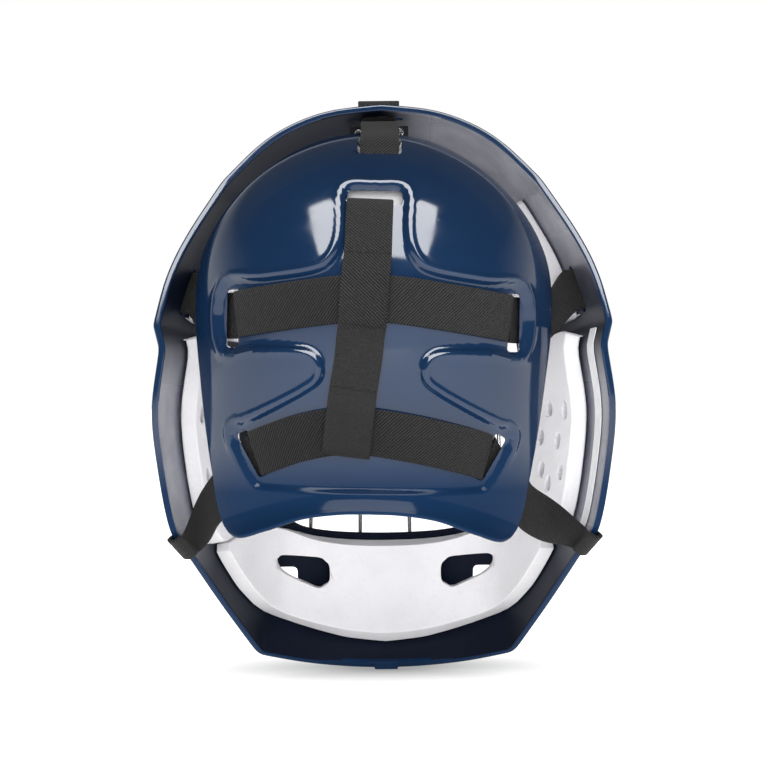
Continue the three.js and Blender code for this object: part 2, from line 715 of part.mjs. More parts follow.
// From under the plate's top, forward under the rim, up through the crown slot and forward again.
function crownStrap() {
  const plateStops = [[118, -7.6], [122, -6.2], [124.8, -2.1], [126.8, 2.3], [131.5, 4.2]];
  const freeStops = [
    [24, 141.4, 19.5], [8, 141.8, 18.8], [0.5, 143, 18.8], [-2.2, 146.5, 19], [-2.8, 150.5, 20.5],
    [-3.1, 153.6, 22.5], [-4.4, 156.5, 23], [-6.8, 157.2, 23], [-9.4, 155.4, 23], [-12, 153.5, 23],
  ];
  const shellStops = [[0.86, 1.5], [0.79, 1.5]];
  const side = vec(1, 0, 0);
  return [
    ...plateStops.map(([z, height]) => ({
      at: onPlatePlaced(CROWN_STRAP_SLOT.x, z, height),
      side,
      width: 20.5,
    })),
    ...freeStops.map(([y, z, width]) => ({ at: vec(CROWN_STRAP_X, y, z), side, width })),
    ...shellStops.map(([level, height]) => ({ at: fromShell(0, level, height), side, width: 23 })),
  ];
}

// ---------------------------------------------------------------- small hardware
const SNAP = { cap: 6, capHeight: 2.6, stem: 1.8, flange: 4 };
const STRAP_ON_SHELL = 1.5; // middle of a strap end over the shell, under its snap

// A snap rivet about Z: cap over the strap at a height, stem through the wall, flange inside.
function snapProfile(under, flangeTop) {
  return [
    [0, flangeTop - 1],
    [SNAP.flange, flangeTop - 1],
    [SNAP.flange, flangeTop],
    [SNAP.stem, flangeTop],
    [SNAP.stem, under],
    [SNAP.cap, under],
    [SNAP.cap, under + SNAP.capHeight * 0.35],
    [SNAP.cap * 0.75, under + SNAP.capHeight * 0.8],
    [SNAP.cap * 0.35, under + SNAP.capHeight],
    [0, under + SNAP.capHeight],
  ];
}

function snapOnShell(section, level, inside = GAP) {
  const under = STRAP_ON_SHELL + STRAP_THICK / 2 + GAP;
  return atShell(turned(snapProfile(under, -WALL - inside)), section, level);
}

const BRACKET = { x: 1.2, width: 33, thick: 1.5, low: 135.5, high: 144, rear: -6.4, flange: 10 };
const RIVET = { x: 11.6, z: 140.2, ring: 2.5, bore: 1, stem: 1.6 };

function crownBracket() {
  const { x, width, thick, low, high, rear, flange } = BRACKET;
  const tab = new THREE.BoxGeometry(width, thick, high - low)
    .translate(x, rear - thick / 2, (low + high) / 2);
  const shelf = new THREE.BoxGeometry(width, flange, thick)
    .translate(x, rear - thick - flange / 2 + 0.2, low + thick / 2);
  const joined = geometryOf(solidOf(tab).add(solidOf(shelf)));
  const bore = (offset) =>
    disc(RIVET.stem + GAP, -8, 8, 10).rotateX(Math.PI / 2).translate(x + offset, rear, RIVET.z);
  return cut(joined, [bore(RIVET.x), bore(-RIVET.x)]);
}

// A tubular rivet: a rolled ring on the rear of the tab, a stem, and a small foot in front of it.
function crownRivet(offset) {
  const { ring, stem, bore } = RIVET;
  const front = -BRACKET.thick - GAP;
  const profile = [
    [bore, front - 1], [ring - 0.6, front - 1], [ring - 0.6, front], [stem, front], [stem, GAP],
    [ring, GAP], [ring, GAP + 0.8], [ring - 0.8, GAP + 1.4], [bore, GAP + 1.2], [bore, front - 1],
  ];
  return turned(profile, 10)
    .rotateX(-Math.PI / 2)
    .translate(BRACKET.x + offset, BRACKET.rear, RIVET.z);
}

function crownLoop() {
  const [radius, y] = [RIVET.x + 1.5, BRACKET.rear + 3.2];
  const points = spread(Math.PI * 1.06, Math.PI * 1.94, 10).map((a) =>
    vec(BRACKET.x + radius * Math.cos(a), y, RIVET.z - 2.5 + radius * 0.75 * Math.sin(a)),
  );
  return wire(points, 1, 14);
}

// ---------------------------------------------------------------- materials
const finish = (color, roughness, metalness = 0) =>
  new THREE.MeshStandardMaterial({ color, roughness, metalness });
const navy = finish(0x1c345c, 0.12);
const foam = finish(0xf1f1ee, 0.9);
const webbing = finish(0x121214, 0.85);
const chrome = finish(0xc9cbd0, 0.2, 1);
const wireMetal = finish(0x8f9297, 0.35, 1);
const darkMetal = finish(0x1b1d22, 0.5, 0.6);
const paper = finish(0xf5f5f5, 0.6);

// ---------------------------------------------------------------- assembly
const mask = new THREE.Group();
mask.position.set(0, CENTRE_Y, HEAD_HEIGHT);
mask.add(plateGroup);

function add(name, geometry, material, parent = mask) {
  const mesh = new THREE.Mesh(geometry, material);
  mesh.name = name;
  parent.add(mesh);
}

add("shell", shellGeometry(), navy);
add("cage_rim", rimWireGeometry(), wireMetal);
CAGE_COLUMNS.forEach((x, i) => {
  add(`cage_upright_left_${i + 1}`, uprightBar(x), wireMetal);
  add(`cage_upright_right_${i + 1}`, uprightBar(-x), wireMetal);
});
CAGE_ROWS.forEach((z, i) => add(`cage_crossbar_${i + 1}`, levelBar(z), wireMetal));
["top", "side", "low"].forEach((place, i) =>
  sides(CLIP_SECTIONS[i]).forEach((section, j) => {
    const f = { ...fixingFrame(section), section };
    add(`cage_clip_${place}_${sideNames[j]}`, clipGeometry(f), darkMetal);
    add(`cage_screw_${place}_${sideNames[j]}`, screwGeometry(f), chrome);
    add(`cage_nut_${place}_${sideNames[j]}`, nutGeometry(f), chrome);
  }),
);

add("forehead_pad", wallPad(-3.5, 3.5, 0.3, 0.7, 14, PAD_THICK, 0.7), foam);
add("chin_pad", chinPadGeometry(), foam);
sideNames.forEach((name, i) => {
  const sign = i ? -1 : 1;
  const section = (s) => (i ? AROUND - s : s);
  const upper = section(UPPER_SLOT.section);
  const temple = wallPad(section(3.9), section(6.75), 0.3, 0.77, 5, PAD_THICK, 0.7);
  add(`temple_pad_${name}`, cut(temple, [pocket(upper, UPPER_SNAP_LEVEL, 5, 7)]), foam);
  add(`cheek_pad_${name}`, wallPad(section(7.45), section(11.9), 0.3, 0.8, 7, PAD_THICK, 1.4), foam);
  const snapHole = (s, level) => [hole(s, level, SNAP_HOLE)];
  const lower = section(LOWER_TAIL_SECTION);
  const upperEnd = cut(strap(upperTail(sign), 22), snapHole(upper, UPPER_SNAP_LEVEL));
  const lowerEnd = cut(strap(lowerTail(sign), 26), snapHole(lower, LOWER_SNAP_LEVEL));
  add(`upper_strap_end_${name}`, upperEnd, webbing);
  add(`lower_strap_end_${name}`, lowerEnd, webbing);
  add(`snap_upper_${name}`, snapOnShell(upper, UPPER_SNAP_LEVEL), chrome);
  add(`snap_lower_${name}`, snapOnShell(lower, LOWER_SNAP_LEVEL), chrome);
});
const crownHole = hole(0, CROWN_SNAP_LEVEL, SNAP_HOLE);
add("crown_strap", cut(strap(crownStrap(), 30), [crownHole]), webbing);
add("crown_snap", snapOnShell(0, CROWN_SNAP_LEVEL, 1.2), chrome);
add("crown_bracket", crownBracket(), darkMetal);
add("crown_rivet_left", crownRivet(RIVET.x), chrome);
add("crown_rivet_right", crownRivet(-RIVET.x), chrome);
add("crown_loop", crownLoop(), chrome);
const stickerSections = [AROUND - 11.4, AROUND - 7.3];
add("blank_sticker", wallPad(...stickerSections, 0.87, 0.93, 6, 0.4), paper);

add("back_plate", backPlateGeometry(), navy, plateGroup);
add("back_plate_pad", platePadGeometry(), foam, plateGroup);
add("strap_upper", plateStrap(UPPER_STRAP, ON_BED, 16), webbing, plateGroup);
add("strap_lower", plateStrap(LOWER_STRAP, ON_BED, 16), webbing, plateGroup);
add("strap_upright", plateStrap(UPRIGHT_STRAP, ON_BED + STRAP_THICK + GAP, 16), webbing, plateGroup);

const part = new THREE.Group();
part.add(mask);
export default part;
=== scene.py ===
# A goaltender's mask seen from behind: navy shell, wire cage, white foam liner,
# and a domed back plate in an elastic harness.
# Shapes are in millimetres about the middle of the head, +Z up, with the face towards -Y.
import json
import math

import bmesh
import bpy
import numpy as np
from mathutils import Matrix, Vector


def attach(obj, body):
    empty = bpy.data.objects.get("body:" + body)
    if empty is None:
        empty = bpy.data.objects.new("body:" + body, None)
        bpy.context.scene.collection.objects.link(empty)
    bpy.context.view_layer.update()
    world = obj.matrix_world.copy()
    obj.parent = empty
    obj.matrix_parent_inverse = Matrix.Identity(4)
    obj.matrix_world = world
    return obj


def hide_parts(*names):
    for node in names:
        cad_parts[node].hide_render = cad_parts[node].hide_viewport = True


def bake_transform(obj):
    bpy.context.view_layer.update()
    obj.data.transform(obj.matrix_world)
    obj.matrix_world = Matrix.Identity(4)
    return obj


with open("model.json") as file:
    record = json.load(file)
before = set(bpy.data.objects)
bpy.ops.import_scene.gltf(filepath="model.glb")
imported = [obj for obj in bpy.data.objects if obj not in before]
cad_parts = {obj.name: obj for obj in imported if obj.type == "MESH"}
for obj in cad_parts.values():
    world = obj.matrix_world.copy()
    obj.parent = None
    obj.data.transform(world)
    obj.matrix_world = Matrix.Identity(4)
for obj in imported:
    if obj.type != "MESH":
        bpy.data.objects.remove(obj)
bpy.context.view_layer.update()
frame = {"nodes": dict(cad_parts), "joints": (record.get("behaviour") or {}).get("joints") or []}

# ---- driving dimensions
MM = 0.001
HINGE = (0, 5, 140)  # the back plate's hinge from the middle of the head
HEAD = np.array(frame["joints"][0]["pos_m"]) - np.array(HINGE) * MM
SHELL_BODY = "mask_shell"
PLATE_BODY = "back_plate_assembly"

WALL = 4
GAP = 0.35
SEAT = {"depth": 2, "end": 0.13, "step": 0.03}
WIRE_RADIUS = 1.25
WIRE_LEVEL = 0.07
WIRE_LIFT = 2.2
SCREW_LEVEL = 0.2
PAD_THICK = 9
STRAP_WIDTH = 24
STRAP_THICK = 1.5
PLATE_THICK = 2.5
BED_DEPTH = 3
BED_EDGE = 1.5
BED_BEAD = {"height": 0.7, "out": 2.6, "width": 1.3, "fade": (-45, -30)}
PLATE_ROLL = math.radians(-1.47)
PLATE_SHIFT = 5.8


# ---- small helpers
def unit(v):
    return v / np.linalg.norm(v, axis=-1, keepdims=True)


def smoothstep(x, low, high):
    t = np.clip((x - low) / (high - low), 0, 1)
    return t * t * (3 - 2 * t)


def spread(low, high, steps):
    return np.linspace(low, high, steps + 1)


def angles(low, high, steps):
    """Evenly spaced angles between two that are given in degrees."""
    return np.radians(spread(low, high, steps))


def stacked(*parts):
    """Numbers and matching arrays side by side, along a new last axis."""
    return np.stack(np.broadcast_arrays(*parts), -1).astype(float)


def place(points):
    """Millimetres about the head's middle to metres in the frame."""
    return np.asarray(points, float) * MM + HEAD


def smooth_curve(points, count):
    """A centripetal Catmull-Rom curve, evenly stepped between its points. Extra columns go along."""
    p = np.asarray(points, float)
    p = np.vstack([2 * p[0] - p[1], p, 2 * p[-1] - p[-2]])
    u = spread(0, len(p) - 3, count - 1)
    i = np.minimum(u.astype(int), len(p) - 4)
    f = (u - i)[:, None]
    a, b, c, d = p[i], p[i + 1], p[i + 2], p[i + 3]
    gap = lambda m, n: np.maximum(np.linalg.norm((n - m)[:, :3], axis=1), 1e-4)[:, None] ** 0.5
    ab, bc, cd = gap(a, b), gap(b, c), gap(c, d)
    start = ((b - a) / ab - (c - a) / (ab + bc) + (c - b) / bc) * bc
    end = ((c - b) / bc - (d - b) / (bc + cd) + (d - c) / cd) * bc
    square = -3 * b + 3 * c - 2 * start - end
    cube = 2 * b - 2 * c + start + end
    return b + start * f + square * f**2 + cube * f**3


# ---- shell surface
# Half of the shell, from the top ridge round the side to the chin. Each row is one section
# from the face opening's edge, over a control point, to the rear rim.
SECTIONS = np.array([
    [[0, -118, 66], [0, -100, 152], [0, 15, 153]],
    [[20, -117, 66.5], [27, -97, 146], [28, 16, 149.5]],
    [[38, -114, 66], [47, -90, 136], [49.5, 18, 141.7]],
    [[54, -109, 64], [64, -82, 122], [67.3, 20, 130]],
    [[68, -102, 58], [82, -70, 102], [86.8, 24, 110.5]],
    [[78, -95, 44], [92, -62, 76], [105.5, 32, 80.5]],
    [[83, -90, 28], [99, -56, 52], [115.8, 38, 58]],
    [[85, -88, 12], [106, -50, 30], [122.4, 44, 32.3]],
    [[85.5, -87.5, 2], [103, -50, 17], [119.2, 45, 19.5]],
    [[86, -87, -14], [108, -50, -13], [123.4, 45, -13]],
    [[84, -87, -32], [108, -50, -42], [121, 42, -44]],
    [[80, -89, -50], [104, -54, -72], [115.2, 36, -78]],
    [[73, -92, -66], [98, -64, -94], [108, 15, -94]],
    [[64, -96, -78], [90, -84, -112], [94, -28, -126]],
    [[52, -101, -86], [78, -108, -126], [76.7, -73, -161.3]],
    [[36, -106, -89.5], [54, -122, -132], [50, -84, -168]],
    [[18, -109.5, -91], [27, -132, -136], [25, -87.3, -171.2]],
    [[0, -111, -91.5], [0, -135, -138], [0, -88, -172.2]],
])
CHIN = len(SECTIONS) - 1
AROUND = 2 * CHIN
RIDGES = (0, 4, 7, 8, 14)
FINE = 24  # steps to a section
CREASE_BLUR = 2.2  # in those steps
SHELL_MIDDLE = np.array([0, -30, -10])
SIDES = (("left", 1), ("right", -1))


def fine_ring():
    """The control points all round, with the creases rounded a little."""
    other = SECTIONS[CHIN - 1:0:-1] * np.array([-1, 1, 1])
    p = np.concatenate([SECTIONS, other]).astype(float)
    q = np.roll(p, -1, 0)
    ridge = [[which > 0 and min(i, AROUND - i) in RIDGES for which in range(3)] for i in range(AROUND)]
    crease = np.array(ridge)[..., None]
    start = np.where(crease, q - p, (q - np.roll(p, 1, 0)) / 2)[:, None]
    end = np.where(np.roll(crease, -1, 0), q - p, (np.roll(p, -2, 0) - p) / 2)[:, None]
    u = (np.arange(FINE) / FINE)[None, :, None, None]
    ring = p[:, None] * (2 * u**3 - 3 * u**2 + 1) + start * (u**3 - 2 * u**2 + u)
    ring = ring + q[:, None] * (3 * u**2 - 2 * u**3) + end * (u**3 - u**2)
    ring = ring.reshape(-1, 3, 3)
    reach = range(-8, 9)
    weights = np.array([math.exp(-((k / CREASE_BLUR) ** 2) / 2) for k in reach])
    return sum(np.roll(ring, k, 0) * w for k, w in zip(reach, weights / weights.sum()))


RING = fine_ring()


def on_shell(section, level):
    section, level = np.broadcast_arrays(np.asarray(section, float), np.asarray(level, float))
    at = np.mod(section, AROUND) * FINE
    i = np.floor(at).astype(int)
    f = (at - i)[..., None, None]
    c = RING[i % len(RING)] * (1 - f) + RING[(i + 1) % len(RING)] * f
    t = level[..., None]
    return (1 - t) ** 2 * c[..., 0, :] + 2 * (1 - t) * t * c[..., 1, :] + t**2 * c[..., 2, :]


def shell_axes(section, level):
    """Directions round the shell, towards its rear rim, and out of it."""
    level = np.asarray(level, float)
    near = np.where(level > 0.5, level - 0.02, level)
    round_ = unit(on_shell(np.asarray(section) + 0.1, level) - on_shell(np.asarray(section) - 0.1, level))
    back = unit(on_shell(section, near + 0.02) - on_shell(section, near))
    out = unit(np.cross(round_, back))
    inside = on_shell(section, level) - SHELL_MIDDLE
    out = out * np.where((out * inside).sum(-1, keepdims=True) < 0, -1, 1)
    back = np.cross(out, round_)
    back = back * np.where(back[..., 1:2] < 0, -1, 1)
    return round_, back, out


def from_shell(section, level, height, beyond=0):
    _, back, out = shell_axes(section, level)
    height, beyond = np.asarray(height, float), np.asarray(beyond, float)
    return on_shell(section, level) + out * height[..., None] + back * beyond[..., None]


def mirrored(section, sign):
    return section if sign > 0 else AROUND - section


def mirrored_sections(section):
    return [(side, mirrored(section, sign)) for side, sign in SIDES]


# ---- back plate surface
PLATE_MIDDLE = 30
PLATE_OUTLINE = [
    (0, 137.5), (34, 130), (64.5, 110), (79.5, 94), (89.5, 77.5), (94.5, 62), (96, 34), (92, 0),
    (87.5, -30), (83.5, -52), (81, -66), (77, -76), (70.6, -80), (55, -75.5), (35, -68.5),
    (15, -65.5), (0, -65),
]
BED_CORNERS = [
    (0, 100.3), (13.5, 100.3), (15.6, 97.5), (15.6, 80), (16.6, 71), (19.5, 63.5), (24, 58.4), (30, 56),
    (38, 54.4), (57, 52.2), (78, 50.6), (78, 17.3), (60, 17.8), (40, 17.6), (33, 16.7), (28.5, 14.2),
    (25.6, 10), (25, 5.5), (26, 1.5), (29.5, -2.5), (66, -21.4), (70.5, -22.4), (73, -26), (60, -53),
    (52, -54.5), (0, -54.5),
]
BED_OUTLINE = smooth_curve(BED_CORNERS, 101).tolist()
DOME = {"wide": 101, "high": 98, "low": 170, "turn": 40, "front": 6}
LIP = {"width": 14, "curl": 0.055, "middle": -65, "drop": 15, "half": 70.6}


def dome_depth(x, z):
    """The plate is a dome above its widest height, a barrel below it, and its lower lip turns out."""
    across = 1 - (x / DOME["wide"]) ** 2
    up = z - DOME["turn"]
    over_edge = z - (LIP["middle"] - LIP["drop"] * (x / LIP["half"]) ** 2)
    flare = LIP["curl"] * np.maximum(0, LIP["width"] - over_edge) ** 2
    dome = np.sqrt(np.maximum(1e-4, across - (up / DOME["high"]) ** 2))
    barrel = np.sqrt(np.maximum(1e-4, across)) * np.sqrt(1 - (np.minimum(up, 0) / DOME["low"]) ** 2)
    return DOME["front"] + np.where(up >= 0, DOME["wide"] * dome, DOME["wide"] * barrel + flare)


def inside_bed(x, z):
    """How far a point lies inside the strap bed, negative outside."""
    px = np.abs(x)
    nearest = np.full(np.shape(px), 1e9)
    inside = np.zeros(np.shape(px), bool)
    for (ax, az), (bx, bz) in zip(BED_OUTLINE, BED_OUTLINE[1:]):
        dx, dz = bx - ax, bz - az
        f = np.clip(((px - ax) * dx + (z - az) * dz) / (dx * dx + dz * dz), 0, 1)
        nearest = np.minimum(nearest, np.hypot(px - ax - f * dx, z - az - f * dz))
        if az != bz:
            crossing = ((az > z) != (bz > z)) & (px < ax + dx * (z - az) / (bz - az))
            inside = inside ^ crossing
    return np.where(inside, nearest, -nearest)


def bed_sink(x, z):
    """The strap bed's depth, with a raised bead round it."""
    inside = inside_bed(x, z)
    bead = BED_BEAD["height"] * np.exp(-(((inside + BED_BEAD["out"]) / BED_BEAD["width"]) ** 2))
    bead = bead * smoothstep(z, *BED_BEAD["fade"])
    return BED_DEPTH * smoothstep(inside, -BED_EDGE, BED_EDGE) - bead


def on_plate(x, z, height):
    """A point over the plate, which hangs a little askew in the shell."""
    x, z, height = np.broadcast_arrays(*(np.asarray(v, float) for v in (x, z, height)))
    d = 0.5
    slope_x = (dome_depth(x + d, z) - dome_depth(x - d, z)) / (2 * d)
    slope_z = (dome_depth(x, z + d) - dome_depth(x, z - d)) / (2 * d)
    out = unit(stacked(-slope_x, 1, -slope_z))
    return rolled(stacked(x, dome_depth(x, z), z) + out * height[..., None])


def rolled(p):
    cos, sin = math.cos(PLATE_ROLL), math.sin(PLATE_ROLL)
    x, y, z = p[..., 0], p[..., 1], p[..., 2]
    return stacked(x * cos + z * sin + PLATE_SHIFT, y, z * cos - x * sin)


# ---- materials
def connect(tree, value, socket):
    """Links a socket, or gives it a value. A colour is given without its alpha."""
    if isinstance(value, bpy.types.NodeSocket):
        tree.links.new(value, socket)
    else:
        socket.default_value = (*value, 1) if socket.type == "RGBA" else value


def node(tree, kind, inputs=None, **settings):
    """A shader node with its settings, and its inputs as values or as sockets to link."""
    made = tree.nodes.new("ShaderNode" + kind)
    for name, value in settings.items():
        setattr(made, name, value)
    for name, value in (inputs or {}).items():
        connect(tree, value, made.inputs[name])
    return made


def maths(tree, operation, *values):
    return node(tree, "Math", dict(enumerate(values)), operation=operation).outputs[0]


def painted(tree, shader, **sockets):
    """Feeds a shader's inputs; here their names have underscores for spaces."""
    for name, value in sockets.items():
        connect(tree, value, shader.inputs[name.replace("_", " ")])


def new_material(name, roughness, metallic=0.0, **sockets):
    made = bpy.data.materials.new(name)
    made.use_nodes = True
    shader = made.node_tree.nodes["Principled BSDF"]
    painted(made.node_tree, shader, Roughness=roughness, Metallic=metallic, **sockets)
    return made, made.node_tree, shader


def axes_of(tree, coordinates="Object"):
    """The parts of a place in the piece's own space, or of a direction in the world."""
    return node(tree, "SeparateXYZ", {"Vector": node(tree, "TexCoord").outputs[coordinates]}).outputs


def object_noise(tree, scale, detail=3.0, stretch=(1, 1, 1), roughness=0.5):
    """Noise in the piece's own space, so that it stays with the piece; scale is features to a metre."""
    coordinates = node(tree, "TexCoord").outputs["Object"]
    stretched = node(tree, "Mapping", {"Vector": coordinates, "Scale": stretch}).outputs[0]
    inputs = {"Vector": stretched, "Scale": scale, "Detail": detail, "Roughness": roughness}
    return node(tree, "TexNoise", inputs).outputs["Fac"]


def ramp(tree, value, low, high, from_low=0.3, from_high=0.7):
    inputs = {"Value": value, "From Min": from_low, "From Max": from_high, "To Min": low, "To Max": high}
    return node(tree, "MapRange", inputs).outputs[0]


def mixed(tree, factor, a, b):
    """Two colours mixed: they are the mix node's sockets 6 and 7, and their mix is its output 2."""
    return node(tree, "Mix", {0: factor, 6: a, 7: b}, data_type="RGBA").outputs[2]


def cloudy(tree, noise, dark, light):
    return mixed(tree, ramp(tree, noise, 0, 1), dark, light)


def bumped(tree, shader, *layers):
    """Each layer is a height socket, its depth in metres, and a strength."""
    normal = None
    for height, depth, strength in layers:
        inputs = {"Height": height, "Distance": depth, "Strength": strength}
        if normal is not None:
            inputs["Normal"] = normal
        normal = node(tree, "Bump", inputs).outputs[0]
    painted(tree, shader, Normal=normal)


GLOSS_RISE = (0.117, 0.14)  # metres above the floor over which the outside turns glossy
PAINTED_REFLECTION_ZONES = {  # metres over which the inner wall's painted reflection comes or goes
    "crown_across": (-0.03, 0.0),
    "crown_up": (0.2, 0.26),
    "flank_across": (0.096, 0.108),
    "flank_up": (0.06, 0.1),
    "flank_top": (0.17, 0.2),
}
RIB_PITCH = 1.25  # millimetres between the ribs of the webbing
RIB_LEAN = math.radians(50)
THREAD_PITCH = 0.9  # millimetres between its threads, along the ribs


def navy_plastic():
    made, tree, shader = new_material("navy_gloss_plastic", 0.12, IOR=1.56)
    base = cloudy(tree, object_noise(tree, 14, 2), (0.0058, 0.0215, 0.060), (0.0072, 0.0265, 0.072))
    specks = ramp(tree, object_noise(tree, 900, 2), 0, 0.25, 0.6, 0.8)
    smears = object_noise(tree, 30, 5, (1, 1, 3))
    scratches = object_noise(tree, 260, 6, (1, 5, 0.16), 0.8)
    painted(
        tree, shader,
        Base_Color=mixed(tree, specks, base, (0.010, 0.030, 0.078)),
        Roughness=ramp(tree, smears, 0.06, 0.15),
        Specular_IOR_Level=ramp(tree, axes_of(tree)[2], 0.06, 0.5, *GLOSS_RISE),
    )
    bumped(
        tree, shader,
        (object_noise(tree, 60, 1), 0.0004, 0.06),
        (ramp(tree, scratches, 0, 1, 0.62, 0.75), 0.00004, 0.35),
    )
    return made


def inner_plastic():
    """The moulding's inside: darker than its outside as painted shade, with a painted reflection as a pale
    haze at the crown's right and the sides.
    """
    made, tree, shader = new_material("navy_inner_face", 0.2, IOR=1.5)
    x, _, z = axes_of(tree)
    fade = lambda value, zone, low=0, high=1: ramp(tree, value, low, high, *PAINTED_REFLECTION_ZONES[zone])
    # The crown and flank masks mark where a painted reflection lies on the inner wall.
    crown = maths(tree, "MULTIPLY", fade(x, "crown_across", 1, 0), fade(z, "crown_up"))
    flank = maths(tree, "MULTIPLY", fade(maths(tree, "ABSOLUTE", x), "flank_across"), fade(z, "flank_up"))
    flank = maths(tree, "MULTIPLY", flank, fade(z, "flank_top", 1, 0))
    painted_reflection = maths(tree, "MAXIMUM", crown, flank)
    cloud = object_noise(tree, 40, 3)
    # The dark colours are painted shade for the inside; the pale haze is a painted reflection of the bright
    # liner.
    dark = cloudy(tree, cloud, (0.0022, 0.0045, 0.012), (0.0034, 0.0065, 0.017))
    painted_reflection_colour = cloudy(tree, cloud, (0.11, 0.115, 0.15), (0.20, 0.205, 0.25))
    painted(
        tree, shader,
        Base_Color=mixed(tree, painted_reflection, dark, painted_reflection_colour),
        Specular_IOR_Level=ramp(tree, painted_reflection, 0.1, 0.7, 0, 1),
        Roughness=ramp(tree, painted_reflection, 0.5, 0.25, 0, 1),
    )
    bumped(tree, shader, (object_noise(tree, 70, 2), 0.0006, 0.2))
    return made


def foam():
    made, tree, shader = new_material("white_foam", 0.82, Sheen_Weight=0.15)
    cells = object_noise(tree, 1500, 2)
    grain = object_noise(tree, 420, 4)
    cloud = object_noise(tree, 35, 3)
    base = cloudy(tree, cloud, (0.80, 0.79, 0.81), (0.87, 0.86, 0.88))
    pores = ramp(tree, grain, 0, 0.35, 0.55, 0.8)
    painted(tree, shader, Base_Color=mixed(tree, pores, base, (0.70, 0.69, 0.71)))
    bumped(tree, shader, (cloud, 0.002, 0.25), (grain, 0.0006, 0.35), (cells, 0.0002, 0.4))
    return made


def webbing():
    """Black elastic twill. The attribute holds the distance over the ribs, along them, and the fuzz."""
    made, tree, shader = new_material("black_webbing", 0.72, Specular_IOR_Level=0.25, Sheen_Weight=0.03)
    weave = node(tree, "Attribute", attribute_name="weave").outputs["Vector"]
    over, along, fuzz = node(tree, "SeparateXYZ", {"Vector": weave}).outputs

    def wave(value, pitch):
        sine = maths(tree, "SINE", maths(tree, "MULTIPLY", value, 2 * math.pi / pitch))
        return maths(tree, "MULTIPLY_ADD", sine, 0.5, 0.5)

    jitter = node(tree, "TexNoise", {"Vector": weave, "Scale": 0.9, "Detail": 2.0}).outputs["Fac"]
    ribs = wave(maths(tree, "MULTIPLY_ADD", jitter, 0.45, over), RIB_PITCH)
    knots = maths(tree, "MULTIPLY_ADD", wave(along, THREAD_PITCH), 0.35, 0.65)
    twill = maths(tree, "MULTIPLY", ribs, knots)
    loops = object_noise(tree, 1400, 3, roughness=0.7)
    height = node(tree, "Mix", {0: fuzz, 2: twill, 3: loops}, data_type="FLOAT").outputs[0]
    lint = ramp(tree, object_noise(tree, 700, 3), 0, 0.4, 0.62, 0.8)
    # Grooves between the ribs are painted near black and the rib tops lighter: painted shade in the grooves.
    painted_rib_shade = ramp(tree, height, 0, 1, 0.25, 0.95)
    base = mixed(tree, painted_rib_shade, (0.0005, 0.0005, 0.0006), (0.025, 0.0237, 0.0245))
    painted(tree, shader, Base_Color=mixed(tree, lint, base, (0.034, 0.033, 0.033)))
    bumped(tree, shader, (height, 0.0006, 1.0), (loops, 0.0001, 0.4))
    return made


def metal(name, colour, roughness, grain=300, wear=0.25):
    made, tree, shader = new_material(name, roughness, 1.0)
    cloud = object_noise(tree, grain, 4)
    dark = tuple(c * (1 - wear) for c in colour)
    painted(
        tree, shader,
        Base_Color=cloudy(tree, cloud, dark, colour),
        Roughness=ramp(tree, cloud, roughness * 0.8, roughness * 1.5),
    )
    bumped(tree, shader, (object_noise(tree, grain * 4, 2), 0.00003, 0.3))
    return made


def coated_metal():
    made, tree, shader = new_material("coated_metal", 0.45)
    grain = object_noise(tree, 1200, 2)
    worn = ramp(tree, node(tree, "NewGeometry").outputs["Pointiness"], 0, 0.6, 0.54, 0.62)
    painted(
        tree, shader,
        Base_Color=mixed(tree, worn, (0.004, 0.0045, 0.007), (0.04, 0.04, 0.043)),
        Roughness=ramp(tree, grain, 0.38, 0.55),
    )
    bumped(tree, shader, (grain, 0.0001, 0.5))
    return made


def paper():
    made, tree, shader = new_material("label_paper", 0.55)
    fibre = object_noise(tree, 500, 4, (1, 1, 0.3))
    painted(tree, shader, Base_Color=cloudy(tree, fibre, (0.74, 0.74, 0.76), (0.86, 0.86, 0.87)))
    bumped(tree, shader, (fibre, 0.0002, 0.3))
    return made


NAVY = (navy_plastic(), "navy_shell")
INNER = inner_plastic()
FOAM = (foam(), "white_foam")
WEBBING = (webbing(), "black_webbing")
CHROME = (metal("chrome", (0.80, 0.81, 0.83), 0.12, wear=0.1), "chrome")
WIRE = (metal("cage_wire", (0.42, 0.43, 0.45), 0.28), "cage_wire")
SCREW_METAL = (metal("screw_metal", (0.62, 0.62, 0.63), 0.25), "screw_metal")
DARK_METAL = (coated_metal(), "dark_metal")
LABEL = (paper(), "white_sticker")


# ---- meshes
def grid_faces(rows, columns, round_rows=False, round_columns=False):
    r = np.arange(rows if round_rows else rows - 1)
    c = np.arange(columns if round_columns else columns - 1)
    i, j = (m.ravel() for m in np.meshgrid(r, c, indexing="ij"))
    i2, j2 = (i + 1) % rows, (j + 1) % columns
    corners = [i * columns + j, i2 * columns + j, i2 * columns + j2, i * columns + j2]
    return np.stack(corners, -1).tolist()


def swept(rings, closed=False):
    """Points and faces of a body through rings of points, with flat ends unless it closes on itself."""
    rows, columns = rings.shape[:2]
    faces = grid_faces(rows, columns, closed, True)
    if not closed:
        faces.append(list(range(columns)))
        faces.append([(rows - 1) * columns + k for k in range(columns)])
    return rings.reshape(-1, 3), faces


def slab(top, bottom):
    """A closed body between two matching grids of points."""
    rows, columns = top.shape[:2]
    count = rows * columns
    faces = grid_faces(rows, columns)
    faces += [[count + k for k in reversed(face)] for face in grid_faces(rows, columns)]
    edge = list(range(columns))
    edge += [i * columns + columns - 1 for i in range(1, rows)]
    edge += [(rows - 1) * columns + k for k in range(columns - 2, -1, -1)]
    edge += [i * columns for i in range(rows - 2, 0, -1)]
    faces += [[a, b, count + b, count + a] for a, b in zip(edge, edge[1:] + edge[:1])]
    return np.concatenate([top.reshape(-1, 3), bottom.reshape(-1, 3)]), faces


